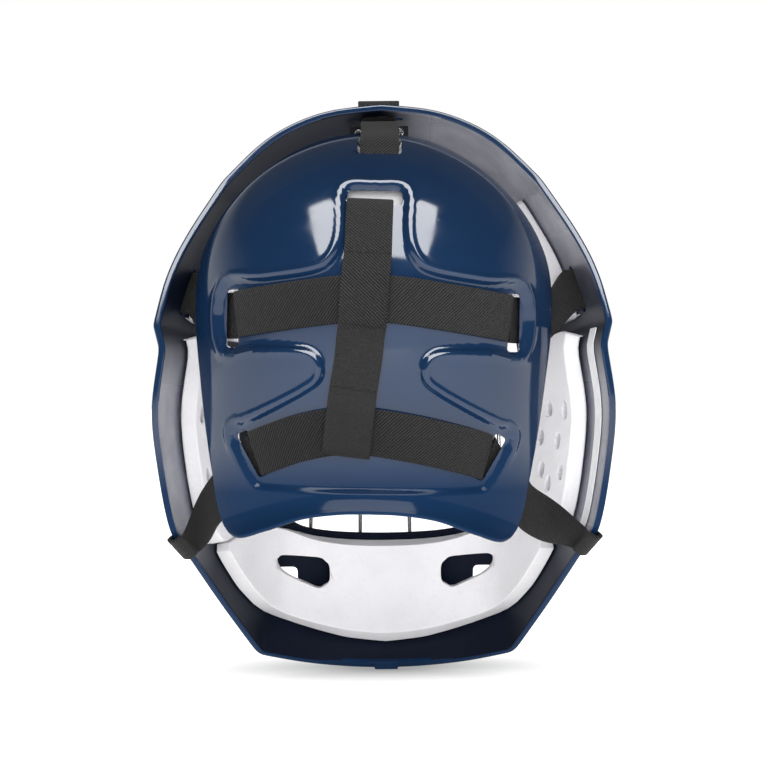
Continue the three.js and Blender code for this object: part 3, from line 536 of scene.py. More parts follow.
def joined(shapes):
    points, faces, count = [], [], 0
    for shape_points, shape_faces in shapes:
        points.append(np.asarray(shape_points, float).reshape(-1, 3))
        faces += [[k + count for k in face] for face in shape_faces]
        count += len(points[-1])
    return np.concatenate(points), faces


def new_object(name, data):
    made = bpy.data.objects.new(name, data)
    bpy.context.scene.collection.objects.link(made)
    return made


def mesh_object(name, points, faces, weave=None):
    mesh = bpy.data.meshes.new(name)
    mesh.from_pydata(place(points).tolist(), [], faces)
    if weave is not None:
        layer = mesh.attributes.new("weave", "FLOAT_VECTOR", "POINT")
        layer.data.foreach_set("vector", np.asarray(weave, np.float32).ravel())
    bm = bmesh.new()
    bm.from_mesh(mesh)
    bmesh.ops.remove_doubles(bm, verts=bm.verts, dist=1e-6)
    bmesh.ops.recalc_face_normals(bm, faces=bm.faces)
    bm.to_mesh(mesh)
    bm.free()
    return new_object(name, mesh)


def settle(piece):
    """Makes a piece's modifiers part of its mesh."""
    depsgraph = bpy.context.evaluated_depsgraph_get()
    piece.data = bpy.data.meshes.new_from_object(piece.evaluated_get(depsgraph))
    piece.modifiers.clear()


def carve(piece, tools, operation="DIFFERENCE"):
    """Cuts shapes that are apart from each other out of a piece, or joins them to it."""
    tool = mesh_object("tool", *joined(tools))
    modifier = piece.modifiers.new("carve", "BOOLEAN")
    modifier.operation = operation
    modifier.solver = "MANIFOLD"
    modifier.object = tool
    settle(piece)
    bpy.data.objects.remove(tool)


def bevel(piece, width, segments=2, angle=50, harden=True):
    modifier = piece.modifiers.new("edges", "BEVEL")
    modifier.width = width * MM
    modifier.segments = segments
    modifier.limit_method = "ANGLE"
    modifier.angle_limit = math.radians(angle)
    modifier.use_clamp_overlap = False
    modifier.harden_normals = harden


def finished(piece, finish, body, nodes=(), sharp=35, weighted=False):
    """Gives a piece its shading, its finish and its body, and hides the CAD nodes that it stands for."""
    material, slot = finish
    piece.data.materials.clear()
    piece.data.materials.append(material)
    piece.data.shade_smooth()
    piece.data.set_sharp_from_angle(angle=math.radians(sharp))
    if weighted:
        modifier = piece.modifiers.new("normals", "WEIGHTED_NORMAL")
        modifier.keep_sharp = True
    if nodes:
        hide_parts(*nodes)
    if body:
        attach(piece, body)
    return piece
def new_piece(name, shape, finish, body, cad, **shading):
    """A finished piece in the place of one CAD node."""
    return finished(mesh_object(name, *shape), finish, body, [cad], **shading)


def rounded(corners, radius, steps=5):
    """An outline whose corners are rounded to about a radius."""
    corners = np.asarray(corners, float)
    points = []
    for before, corner, after in zip(np.roll(corners, 1, 0), corners, np.roll(corners, -1, 0)):
        a = corner + unit(before - corner) * radius
        b = corner + unit(after - corner) * radius
        for t in spread(0, 1, steps):
            points.append((1 - t) ** 2 * a + 2 * (1 - t) * t * corner + t**2 * b)
    return np.array(points)


def bar_outline(size):
    """A bar's outline from its width, its height and its corners' radius."""
    width, height, radius = size
    w, h = width / 2, height / 2
    return rounded([(-w, -h), (w, -h), (w, h), (-w, h)], radius)


def circle(radius, sides=32):
    a = 2 * math.pi * np.arange(sides) / sides
    return radius * stacked(np.cos(a), np.sin(a))


def prism(outline, low, high):
    """An outline in x and y drawn out along z."""
    return swept(np.stack([stacked(*outline.T, z) for z in (low, high)]))


def front_prism(outline, near, far, sign=1):
    """An outline in x and z drawn out along y, mirrored for the other side."""
    x, z = outline.T
    return swept(np.stack([stacked(sign * x, y, z) for y in (near, far)]))


def turned(profile, sides=32):
    """A body about z from its half profile of radius and height, which starts and ends on the axis."""
    r, z = np.asarray(profile, float).T
    x, y = circle(1, sides).T
    rings = stacked(np.outer(x, r), np.outer(y, r), z)
    return rings.reshape(-1, 3), grid_faces(sides, len(r), True, False)


def turned_ring(profile, sides=32):
    """The same for a closed profile that keeps off the axis."""
    points, _ = turned(profile, sides)
    return points, grid_faces(sides, len(profile), True, True)


def moved(shape, origin, x, y, z):
    """A shape from its own axes to where it stands."""
    points, faces = shape
    return points @ np.stack([x, y, z]) + origin, faces


def at_shell(shape, section, level):
    """A shape written about a point of the shell: x round it, z out of it."""
    round_, _, out = shell_axes(section, level)
    return moved(shape, on_shell(section, level), round_, np.cross(out, round_), out)


# ---- shell
UPPER_SLOT = {"section": 6.15, "level": 0.83}
UPPER_SNAP_LEVEL = 0.73
LOWER_TAIL_SECTION = 11.55
LOWER_SNAP_LEVEL = 0.86
CROWN_SLOT_LEVEL = 0.92
CROWN_SNAP_LEVEL = 0.84
CLIP_SECTIONS = (1.5, 8.7, 13.2)
STRAP_SLOT_SIZE = (26.5, 5.5, 2)
CROWN_SLOT_SIZE = (24.5, 5.5, 2)
BROW_VENT_SIZE = (24, 9, 4)
BROW_VENT = (2.2, 0.42)  # a section and a level, as in the holes below
EAR_HOLES = [(8.6, 0.5), (9.3, 0.5), (8.95, 0.57)]
SNAP_HOLE, SCREW_HOLE, EAR_HOLE = 2.2, 2.4, 3.5
REACH = (-14, 10)  # how far a cutter goes into the wall and out of it
CHIN_VENT = [(54, -112), (74, -111), (78, -117), (72, -128), (58, -134), (53.5, -130)]
CHIN_VENT_REACH = (-140, -40)
FOOT = [(-7, -172.6), (7, -172.6), (7, -167.6), (-7, -167.6)]
FOOT_REACH = (-90.5, -85.5)
SHELL_STEPS = 12  # to a section
INNER_ABOVE = 6 * MM  # the lowest edge keeps the outer finish all round


def wall_outline():
    """The wall's closed outline from the opening's edge outside to the rim and back inside."""
    rim, lip = 1.2, 0.9
    turn = angles(0, 90, 4)
    cos, sin = np.cos(turn), np.sin(turn)
    seat_levels = [0.02, 0.05, 0.08, 0.105, 0.12, 0.13, 0.1375, 0.145, 0.1525, 0.16, 0.17]
    outer = np.concatenate([seat_levels, spread(0.2, 0.9, 15), [0.94, 0.97]])
    inner = np.concatenate([[0.97, 0.93], spread(0.88, 0.12, 13), [0.07, 0.03]])
    seat = -SEAT["depth"] * (1 - smoothstep(outer, SEAT["end"], SEAT["end"] + SEAT["step"]))
    return np.concatenate([
        stacked(outer, seat, 0),
        stacked(1, -rim + rim * cos, -rim + rim * sin),
        stacked(1, -WALL + rim - rim * sin, -rim + rim * cos),
        stacked(inner, -WALL, 0),
        stacked(0, -WALL + lip - lip * cos, lip - lip * sin),
        stacked(0, -SEAT["depth"] - lip + lip * sin, lip - lip * cos),
    ])


def shell_tools():
    hole = lambda radius: prism(circle(radius), *REACH)
    slot = lambda size: prism(bar_outline(size), *REACH)
    tools = [
        at_shell(slot(CROWN_SLOT_SIZE), 0, CROWN_SLOT_LEVEL),
        at_shell(hole(SNAP_HOLE), 0, CROWN_SNAP_LEVEL),
    ]
    on_both_sides = [
        (slot(STRAP_SLOT_SIZE), UPPER_SLOT["section"], UPPER_SLOT["level"]),
        (hole(SNAP_HOLE), UPPER_SLOT["section"], UPPER_SNAP_LEVEL),
        (hole(SNAP_HOLE), LOWER_TAIL_SECTION, LOWER_SNAP_LEVEL),
        *((hole(SCREW_HOLE), section, SCREW_LEVEL) for section in CLIP_SECTIONS),
        *((hole(EAR_HOLE), *ear) for ear in EAR_HOLES),
        (slot(BROW_VENT_SIZE), *BROW_VENT),
    ]
    for shape, section, level in on_both_sides:
        tools += [at_shell(shape, s, level) for _, s in mirrored_sections(section)]
    return tools + [front_prism(rounded(CHIN_VENT, 3), *CHIN_VENT_REACH, sign) for _, sign in SIDES]


def make_shell():
    profile = wall_outline()
    sections = spread(0, AROUND, AROUND * SHELL_STEPS)[:-1, None]
    rings = from_shell(sections, profile[:, 0], profile[:, 1], profile[:, 2])
    shell = mesh_object("mask_shell_moulding", *swept(rings, closed=True))
    carve(shell, [front_prism(rounded(FOOT, 0.8), *FOOT_REACH)], "UNION")
    carve(shell, shell_tools())
    bevel(shell, 0.45, 2, 60, harden=False)
    settle(shell)
    finished(shell, NAVY, SHELL_BODY, ["shell"], sharp=50, weighted=True)
    # Faces that look inwards, above the lowest edge, take the inner material: painted shade, with a painted
    # reflection at the crown and sides.
    shell.data.materials.append(INNER)
    middle = Vector(place(SHELL_MIDDLE))
    for face in shell.data.polygons:
        outward = (face.center - middle).normalized()
        if face.normal.dot(outward) < -0.25 and face.center.z > INNER_ABOVE:
            face.material_index = 1


# ---- cage
CAGE_CENTRE = np.array([0, -20, -12])
CAGE_RADII = np.array([107, 125, 124])
CAGE_COLUMNS = (15.4, 46, 72)
CAGE_ROWS = (40, 6, -28, -60)
LAYER = 2 * WIRE_RADIUS + 2 * GAP
RIM_STEPS = 10  # to a section
BAR_STEPS = 48
WELD_RADII = (1.3, 2.3, 1.3)
END_WELD_RADII = (1.3, 2.0, 1.4)
END_WELD_DEPTH = 1.2
ALONG_X, ALONG_Y, ALONG_Z = np.eye(3)


def rim_wire(section, over=0.0):
    return from_shell(section, WIRE_LEVEL, WIRE_LIFT - SEAT["depth"] + over)


def cage_depth(x, z):
    s = (x / CAGE_RADII[0]) ** 2 + ((z - CAGE_CENTRE[2]) / CAGE_RADII[2]) ** 2
    return CAGE_CENTRE[1] - CAGE_RADII[1] * np.sqrt(np.maximum(0, 1 - s))


def rim_crossing(low, high, over, axis, value):
    """Where the cage's outer wire passes a given width or height."""
    wire = rim_wire(spread(low, high, 400), over)
    side = np.sign(wire[:, axis] - value)
    i = int(np.argmax(side[:-1] != side[1:]))
    f = (value - wire[i, axis]) / (wire[i + 1, axis] - wire[i, axis])
    return wire[i] * (1 - f) + wire[i + 1] * f


def tube(path, radius, reference, sides=12, closed=False):
    """Round wire along a path, with rounded ends unless it closes on itself."""
    tangent = np.roll(path, -1, 0) - np.roll(path, 1, 0) if closed else np.gradient(path, axis=0)
    tangent = unit(tangent)
    side = unit(np.cross(tangent, reference))
    up = np.cross(side, tangent)
    radii = np.full(len(path), float(radius))
    if not closed:
        bend = np.radians([80, 50, 20])
        near = path[0] - tangent[0] * radius * np.sin(bend)[:, None]
        far = path[-1] + tangent[-1] * radius * np.sin(bend)[::-1, None]
        path = np.concatenate([near, path, far])
        side, up = (np.pad(way, ((len(bend), len(bend)), (0, 0)), "edge") for way in (side, up))
        radii = np.concatenate([radius * np.cos(bend), radii, radius * np.cos(bend)[::-1]])
    across, rise = circle(1, sides).T[..., None]
    rings = path[:, None] + radii[:, None, None] * (side[:, None] * across + up[:, None] * rise)
    return swept(rings, closed)


def ball(centre, radii, sides=10):
    """A small ellipsoid."""
    a = angles(-90, 90, 6)
    points, faces = turned(stacked(np.cos(a), np.sin(a)), sides)
    return points * np.asarray(radii) + centre, faces


def upright_path(x):
    top = rim_crossing(0, 8, LAYER, 0, abs(x))
    low = rim_crossing(10, CHIN, LAYER, 0, abs(x))
    f = spread(0, 1, BAR_STEPS)
    z = top[2] + 1 + (low[2] - 1 - top[2] - 1) * f
    miss_top, miss_low = top[1] - cage_depth(x, top[2]), low[1] - cage_depth(x, low[2])
    return stacked(x, cage_depth(x, z) + miss_top + (miss_low - miss_top) * f, z)


def level_path(z):
    end = rim_crossing(4, 14, 0, 2, z)
    miss = end[1] - cage_depth(end[0], z)
    x = spread(-(end[0] - 1.5), end[0] - 1.5, BAR_STEPS)
    return stacked(x, cage_depth(x, z) + miss, z)


def upright_welds(path, levels):
    """A weld where an upright bar crosses each level bar, and one at each end on the rim wire."""
    x = path[0, 0]
    welds = []
    for level in levels:
        z = level[0, 2]
        behind = np.array([x, np.interp(x, level[:, 0], level[:, 1]), z])
        before = np.array([x, np.interp(-z, -path[:, 2], path[:, 1]), z])
        if abs(before[1] - behind[1]) < 2 * LAYER:
            welds.append(ball((behind + before) / 2, WELD_RADII))
    return welds + [ball(end + END_WELD_DEPTH * ALONG_Y, END_WELD_RADII) for end in (path[1], path[-2])]


def make_cage():
    sections = spread(0, AROUND, AROUND * RIM_STEPS)[:-1]
    _, _, out = shell_axes(sections, WIRE_LEVEL)
    rim = tube(rim_wire(sections), WIRE_RADIUS, out, 14, True)
    new_piece("cage_rim_wire", rim, WIRE, SHELL_BODY, "cage_rim")
    levels = [level_path(z) for z in CAGE_ROWS]
    for i, path in enumerate(levels, 1):
        bar = tube(path, WIRE_RADIUS, ALONG_Z)
        new_piece(f"cage_level_wire_{i}", bar, WIRE, SHELL_BODY, f"cage_crossbar_{i}")
    for i, column in enumerate(CAGE_COLUMNS, 1):
        for side, sign in SIDES:
            path = upright_path(sign * column)
            bar = mesh_object(f"cage_upright_wire_{side}_{i}", *tube(path, WIRE_RADIUS, ALONG_X))
            carve(bar, upright_welds(path, levels), "UNION")
            finished(bar, WIRE, SHELL_BODY, [f"cage_upright_{side}_{i}"], sharp=60)


# ---- cage fixings
CLIP_THICK = 1.2
SCREW = {"head": 4, "height": 2.2, "shoulder": 0.4, "shank": 2, "length": 9.6}
CROSS = {"arm": 2.2, "half": 0.45, "depth": 1.3}


def domed_head(radius, under, shoulder, height, steps):
    """The top of a head's half profile, from its shoulder to its middle."""
    rise = height - shoulder
    dome = [(radius * math.cos(a), under + shoulder + rise * math.sin(a)) for a in angles(0, 90, steps)]
    return [*dome[:-1], (0, under + height)]


def screw_shape():
    under = 2 * GAP + CLIP_THICK
    head, shank, tip = SCREW["head"], SCREW["shank"], under - SCREW["length"]
    return turned([
        (0, tip), (shank - 0.3, tip), (shank, tip + 0.4), (shank, under), (head - 0.3, under),
        (head, under + 0.3),
        *domed_head(head, under, SCREW["shoulder"], SCREW["height"], 6),
    ])


def cross_recess():
    top = 2 * GAP + CLIP_THICK + SCREW["height"]
    arm, half = CROSS["arm"], CROSS["half"]
    outline = np.array([
        (half, arm), (-half, arm), (-half, half), (-arm, half), (-arm, -half), (-half, -half),
        (-half, -arm), (half, -arm), (half, -half), (arm, -half), (arm, half), (half, half),
    ])
    return prism(outline, top - CROSS["depth"], top + 1)


def make_fixings():
    for row, section in zip(("top", "side", "low"), CLIP_SECTIONS):
        for side, s in mirrored_sections(section):
            screw = mesh_object(f"cage_fixing_screw_{row}_{side}", *at_shell(screw_shape(), s, SCREW_LEVEL))
            carve(screw, [at_shell(cross_recess(), s, SCREW_LEVEL)])
            finished(screw, SCREW_METAL, SHELL_BODY, [f"cage_screw_{row}_{side}"], sharp=30)
            for kind, finish, width in (("clip", DARK_METAL, 0.3), ("nut", SCREW_METAL, 0.35)):
                keep_cad(f"cage_{kind}_{row}_{side}", finish, width)


def keep_cad(name, finish, width):
    """A CAD node that stays, with softened edges and its finish."""
    piece = frame["nodes"][name]
    piece.data.materials.clear()
    piece.data.materials.append(finish[0])
    piece.modifiers.new("weld", "WELD").merge_threshold = 1e-6
    bevel(piece, width, 2, 30)


# ---- liner
FOREHEAD_PAD = {"sections": (-3.5, 3.5), "levels": (0.3, 0.7), "corner": 10}
TEMPLE_PAD = {"sections": (3.9, 6.75), "levels": (0.3, 0.77), "corner": 4}
CHEEK_PAD = {"sections": (7.45, 11.9), "levels": (0.3, 0.8), "base": 1.4, "corner": 5}
CHEEK_HOLES = [(9.05, 0.55), (9.1, 0.72), (9.75, 0.65), (9.75, 0.45), (10.3, 0.72), (10.6, 0.6), (10.4, 0.5)]
CHEEK_HOLE = 4.2
CHIN_PAD = {
    "reach": 5,  # sections to each side of the chin's middle
    "base": 0.8,
    "face": 8.8,
    "upper": [(0, 0.03), (3, 0.03), (3.5, 0.06), (4, 0.12), (4.6, 0.25), (5, 0.32)],  # level by distance
    "lower": [(0, 0.84), (1, 0.815), (2, 0.755), (3, 0.7), (3.5, 0.755), (4, 0.775), (4.6, 0.76), (5, 0.75)],
    "corner": 0.2,
    "corner_level": 0.25,
}
CHIN_PAD_VENT = [(38, -106), (65, -102.5), (66, -109), (59, -116), (40, -125.5), (34, -122), (34, -110)]
CHIN_PAD_REACH = (-150, -30)
SNAP_POCKET = {"radius": 5, "depth": 7}
SCREW_POCKET = {"radius": 6, "depth": 9.5}


def edge_inset(distance, corner):
    """How far a rounded corner pulls in, at a distance from the end."""
    d = np.clip(distance, 0, corner)
    return corner - np.sqrt(corner**2 - (corner - d) ** 2)


def chin_pad_shape():
    """Foam that rounds off the crease at each side of the chin on its inner face."""
    reach = CHIN_PAD["reach"]
    d = spread(-reach, reach, 66)
    low, high = (np.interp(np.abs(d), *np.array(CHIN_PAD[edge]).T) for edge in ("upper", "lower"))
    corner = edge_inset(np.minimum(d + reach, reach - d), CHIN_PAD["corner"]) * CHIN_PAD["corner_level"]
    low, high = (low + corner)[:, None], (high - corner)[:, None]
    f = spread(0, 1, 11)[None]
    level = low * (1 - f) + high * f
    wall, face = (from_shell((CHIN + d)[:, None], level, -WALL - CHIN_PAD[k]) for k in ("base", "face"))
    return slab(wall, evened(face, 6))


def evened(grid, reach):
    """A grid of points smoothed along its rows, with its ends left alone."""
    steps = np.arange(-reach, reach + 1)
    weights = np.exp(-((steps / reach * 2) ** 2) / 2)
    rows = np.arange(len(grid))
    total = sum(w * grid[np.clip(rows + k, 0, len(grid) - 1)] for k, w in zip(steps, weights))
    blend = np.clip(np.minimum(rows, rows[::-1]) / reach, 0, 1)[:, None, None]
    return grid * (1 - blend) + total / weights.sum() * blend


def wall_pad(sections, levels, thick=PAD_THICK, base=0.7, corner=7.0, wave=0.25, sign=1):
    """Foam on the inner wall between two sections and two levels, with rounded corners."""
    s_from, s_to = (mirrored(s, sign) for s in sections)
    l_from, l_to = levels
    run = on_shell(spread(s_from, s_to, 60), (l_from + l_to) / 2)
    length = along_path(run)[-1]
    height = along_path(on_shell((s_from + s_to) / 2, spread(l_from, l_to, 40)))[-1]
    near = corner * (1 - np.cos(angles(0, 90, 7)))
    count = max(4, int(length / 4))
    distance = np.concatenate([near[:-1], spread(corner, length - corner, count), length - near[:-1][::-1]])
    inset = edge_inset(np.minimum(distance, length - distance), corner) / height * abs(l_to - l_from)
    s = (s_from + (s_to - s_from) * distance / length)[:, None]
    f = spread(0, 1, max(8, int(height / 4)))[None]
    level = (l_from + inset)[:, None] * (1 - f) + (l_to - inset)[:, None] * f
    ripple = wave * np.sin(distance[:, None] * 0.13 + 5 * f) * np.sin(distance[:, None] * 0.31 + 9 * f)
    return slab(from_shell(s, level, -WALL - base), from_shell(s, level, -WALL - base - thick + ripple))


def along_path(path):
    steps = np.linalg.norm(np.diff(path, axis=0), axis=1)
    return np.concatenate([[0], np.cumsum(steps)])


def make_pad(name, shape, tools, cad, edge=1.3):
    pad = mesh_object(name, *shape)
    if tools:
        carve(pad, tools)
        pad.modifiers.new("weld", "WELD").merge_threshold = 0.25 * MM
    bevel(pad, edge, 3, 50, harden=False)
    settle(pad)
    finished(pad, FOAM, SHELL_BODY, [cad], sharp=60, weighted=True)


def make_liner():
    pocket = lambda size: prism(circle(size["radius"]), -size["depth"], 2)
    make_pad("forehead_foam", wall_pad(**FOREHEAD_PAD), [], "forehead_pad")
    hole = prism(circle(CHEEK_HOLE, 24), -30, 0)
    for side, sign in SIDES:
        snap = at_shell(pocket(SNAP_POCKET), mirrored(UPPER_SLOT["section"], sign), UPPER_SNAP_LEVEL)
        make_pad(f"temple_foam_{side}", wall_pad(**TEMPLE_PAD, sign=sign), [snap], f"temple_pad_{side}")
        holes = [at_shell(hole, mirrored(s, sign), level) for s, level in CHEEK_HOLES]
        make_pad(f"cheek_foam_{side}", wall_pad(**CHEEK_PAD, sign=sign), holes, f"cheek_pad_{side}")
    vents = [front_prism(rounded(CHIN_PAD_VENT, 4), *CHIN_PAD_REACH, sign) for _, sign in SIDES]
    screws = [at_shell(pocket(SCREW_POCKET), s, SCREW_LEVEL) for _, s in mirrored_sections(CLIP_SECTIONS[2])]
    make_pad("chin_foam", chin_pad_shape(), vents + screws, "chin_pad", edge=0.5)


# ---- back plate
PLATE_REACH = (0, 140)  # how far a cutter goes through the plate, along y
TOP_SLOT = {"x": 0, "z": 94.2, "size": (28, 7.6, 2.5)}
CROWN_STRAP_SLOT = {"x": -1.8, "z": 124.7, "size": (23, 10.9, 2.5)}
SIDE_SLOT = {"x": 72.2, "z": 32.4, "size": (6.5, 30, 2)}
LOW_SLOT = {"x": 60.6, "z": -36.8, "size": (6.5, 25, 2), "turn": 0.52}
PLATE_FOAM = {"reach": 0.84, "near": -8.8, "far": -17, "edge": 4}


def through_plate(slot, sign=1):
    """A cutter straight through the back plate, mirrored for the other side."""
    across, up = bar_outline(slot["size"]).T
    turn = sign * slot.get("turn", 0)
    cos, sin = math.cos(turn), math.sin(turn)
    x = sign * slot["x"] + across * cos + up * sin
    z = slot["z"] - across * sin + up * cos
    return swept(np.stack([rolled(stacked(x, y, z)) for y in PLATE_REACH]))


def plate_edge(count):
    half = smooth_curve(PLATE_OUTLINE, count)
    return np.concatenate([half, half[-2:0:-1] * np.array([-1, 1])])


def dome_slab(edge, reach, rings, outer, inner, radius):
    """A dome-shaped plate inside an outline, with a rounded edge."""
    middle = np.array([0, PLATE_MIDDLE])
    span = np.linalg.norm(edge - middle, axis=1)[:, None] * reach
    f = spread(0, 1, rings)[None, :] * (1 - radius / span)
    x, z = edge[:, :1] * reach * f, PLATE_MIDDLE + (edge[:, 1:] - PLATE_MIDDLE) * reach * f
    top, bottom = on_plate(x, z, outer(x, z)), on_plate(x, z, inner(x, z))
    outward = unit(top[:, -1] - top[:, -2])
    centre, across = (top[:, -1] + bottom[:, -1]) / 2, top[:, -1] - bottom[:, -1]
    half = np.linalg.norm(across, axis=1) / 2
    turn = angles(90, -90, 8)[1:-1]
    arc = centre[:, None] + (half[:, None] * np.sin(turn))[..., None] * unit(across)[:, None]
    arc = arc + (radius * np.cos(turn))[None, :, None] * outward[:, None]
    rows = np.concatenate([top, arc, bottom[:, ::-1]], 1)
    return rows.reshape(-1, 3), grid_faces(*rows.shape[:2], True, False)


def make_plate():
    outer = lambda x, z: -bed_sink(x, z)
    inner = lambda x, z: outer(x, z) - PLATE_THICK
    shape = dome_slab(plate_edge(200), 1, 130, outer, inner, PLATE_THICK / 2)
    plate = mesh_object("back_plate_moulding", *shape)
    tools = [through_plate(TOP_SLOT), through_plate(CROWN_STRAP_SLOT)]
    for _, sign in SIDES:
        tools += [through_plate(SIDE_SLOT, sign), through_plate(LOW_SLOT, sign)]
    carve(plate, tools)
    bevel(plate, 0.4, 2, 60, harden=False)
    settle(plate)
    finished(plate, NAVY, PLATE_BODY, ["back_plate"], sharp=50, weighted=True)
    near = lambda x, z: PLATE_FOAM["near"]
    far = lambda x, z: PLATE_FOAM["far"]
    foam_shape = dome_slab(plate_edge(60), PLATE_FOAM["reach"], 24, near, far, PLATE_FOAM["edge"])
    pad = new_piece("back_plate_foam", foam_shape, FOAM, PLATE_BODY, "back_plate_pad")


# ---- webbing
def strap_outline(width):
    """Half of the loop round a strap's section: across and up, with round edges."""
    r = STRAP_THICK / 2
    flat = spread(-width / 2 + r, width / 2 - r, 10)
    turn = angles(90, -90, 6)[1:-1]
    right = stacked(width / 2 - r + r * np.cos(turn), r * np.sin(turn))
    top = stacked(flat, r)
    return np.concatenate([top, right, -top, -right])


def weave_of(across, along, fuzz):
    """The distance over the ribs, along them, and the fuzz, at each point of a strap."""
    cos, sin = math.cos(RIB_LEAN), math.sin(RIB_LEAN)
    return stacked(across * cos + along * sin, along * cos - across * sin, fuzz).reshape(-1, 3)


def plate_band(stations, steps, fuzz_below=None):
    """A strap over the plate through stations of x, z and height, the end ones down in its slots."""
    stations = np.asarray(stations, float)
    plan = np.gradient(stations[:, :2], axis=0)
    plan[:3], plan[-3:] = plan[3], plan[-4]
    path = smooth_curve(np.column_stack([stations, unit(plan)]), steps)
    direction = unit(path[:, 3:5])
    move = np.gradient(path[:, :3], axis=0)
    tilt = unit(stacked((move[:, :2] * direction).sum(-1), move[:, 2]))
    across = stacked(-direction[:, 1], direction[:, 0])
    a, b = strap_outline(STRAP_WIDTH).T
    plan_points = path[:, None, :2] + across[:, None] * a[None, :, None]
    plan_points = plan_points - (direction * tilt[:, 1:])[:, None] * b[None, :, None]
    heights = path[:, 2:3] + b[None] * tilt[:, :1]
    rings = on_plate(plan_points[..., 0], plan_points[..., 1], heights)
    fuzz = 0
    if fuzz_below is not None:
        fuzz = 1 - smoothstep(plan_points[..., 1], fuzz_below - 0.5, fuzz_below + 0.5)
    return swept(rings), weave_of(a, along_path(rings.mean(1))[:, None], fuzz)


def free_band(stations, steps):
    """A strap through stations of a point, a direction across, and a width."""
    s = smooth_curve(stations, steps)
    at, side, width = s[:, :3], unit(s[:, 3:6]), s[:, 6]
    up = unit(np.cross(np.gradient(at, axis=0), side))
    loops = np.stack([strap_outline(w) for w in width])
    rings = at[:, None] + side[:, None] * loops[..., :1] + up[:, None] * loops[..., 1:]
    return swept(rings), weave_of(loops[..., 0], along_path(at)[:, None], 0)


UPPER_STRAP = [
    (73, 34.2, -6.2), (72.4, 34.25, -3.8), (70.8, 34.4, -1.7), (67.5, 34.9, -0.95), (38, 39, -0.95),
    (20, 41.2, -0.95), (4.6, 42.4, -1.1), (-14, 41.6, -0.95), (-34, 39.2, -0.95),
    (-67.5, 34.9, -0.95), (-70.8, 34.4, -1.7), (-72.4, 34.25, -3.8), (-73, 34.2, -6.2),
]
LOWER_STRAP = [
    (61.8, -38, -6.2), (61.2, -37.7, -3.8), (59.7, -37, -1.7), (56.5, -35.6, -0.95),
    (36, -28.2, -0.95), (11.1, -24.2, -1.1), (-22, -27.9, -0.95), (-56.5, -35.8, -0.95),
    (-59.7, -37.1, -1.7), (-61.2, -37.8, -3.8), (-61.8, -38.1, -6.2),
]
UPRIGHT_STRAP = [
    (2.3, 95.4, -6.3), (2.3, 94.9, -4), (2.4, 93.6, -1.9), (2.5, 90.5, -0.95), (2.8, 80, -0.9),
    (3, 66, -0.7), (3.4, 60, 0), (3.7, 55.5, 0.85), (4.3, 48, 1.1), (4.6, 42, 1.15), (4.8, 36, 1.1),
    (5.1, 30, 0.7), (5.9, 24, -0.3), (7, 12, -0.7), (8.6, 1, -0.5), (9.3, -4, -0.1),
    (9.9, -10, 0.7), (10.8, -18, 1.1), (11.6, -26, 1.15), (12.1, -32, 1.05), (12.4, -36.4, 0.95),
]
FUZZ_BELOW = 27  # the height below which the upright strap's surface is worn to fuzz
STITCH_ROWS = (65, 29.4, -2.7, -34.5)  # heights of the sewing across the upright strap
UPPER_TAIL = {
    "plate": [(73.4, -5), (75.6, -6.6), (80, -7), (85, -6), (90, -5.3), (95, -5)],
    "shell": [(0.84, -9), (0.832, -5), (0.828, -1), (0.815, 1.7), (0.79, 1.35), (0.67, 1.35)],
    "height": 34,
}
LOWER_TAIL = {
    "plate": [
        (61.6, -38.4, -5.4, 0.6), (64.5, -42.5, -6.7, 0.65), (70, -49, -5.3, 0.7), (76, -55, -5, 0.6),
        (82, -60, -5, 0.5), (88, -66, -5, 0.4),
    ],
    "shell": [
        (0.95, -6, 0), (1, -5.1, 1.6), (1, -2, 2.8), (1, 1.1, 1.6), (0.95, 1.6, 0), (0.9, 1.5, 0),
        (0.8, 1.5, 0),
    ],
}
CROWN_STRAP = {
    "x": 1.2,
    "widths": (20.5, 23),  # on the plate, and on the shell
    "plate": [(114, -7.7), (118, -7.6), (122, -6.2), (124.8, -2.1), (126.8, 2.3), (131.5, 4.2)],
    "free": [
        (24, 141.4, 19.5), (8, 141.8, 18.8), (0.5, 143, 18.8), (-2.2, 146.5, 19), (-2.8, 150.5, 20.5),
        (-3.1, 153.6, 22.5), (-4.4, 156.5, 23), (-6.8, 157.2, 23), (-9.4, 155.4, 23), (-12, 153.5, 23),
    ],
    "shell": [(0.86, 1.5), (0.79, 1.5)],
}
THREAD_RADII = (0.78, 0.3, 0.3)


def laid(x, z, direction):
    """A direction laid flat on the plate at one of its points."""
    out = on_plate(x, z, 1) - on_plate(x, z, 0)
    return unit(direction - out * (out @ direction))


def upper_tail(sign):
    """A strap end's stations, where it leaves the plate, and where it reaches the shell."""
    section, z = mirrored(UPPER_SLOT["section"], sign), UPPER_TAIL["height"]
    side = -sign * shell_axes(section, UPPER_SLOT["level"])[0]
    plate = [
        (*on_plate(sign * x, z, h), *laid(sign * x, z, ALONG_Z), STRAP_WIDTH) for x, h in UPPER_TAIL["plate"]
    ]
    shell = [(*from_shell(section, level, h), *side, STRAP_WIDTH) for level, h in UPPER_TAIL["shell"]]
    return plate + shell, plate[-1][:3], shell[0][:3]


def lower_tail(sign):
    section = mirrored(LOWER_TAIL_SECTION, sign)
    side = -sign * shell_axes(section, 1)[0]
    plate = [
        (*on_plate(sign * x, z, h), *laid(sign * x, z, np.array([sign * lean, 0, 1.0])), STRAP_WIDTH)
        for x, z, h, lean in LOWER_TAIL["plate"]
    ]
    shell = [
        (*from_shell(section, level, h, beyond), *side, STRAP_WIDTH)
        for level, h, beyond in LOWER_TAIL["shell"]
    ]
    return plate + shell, plate[-1][:3], shell[0][:3]


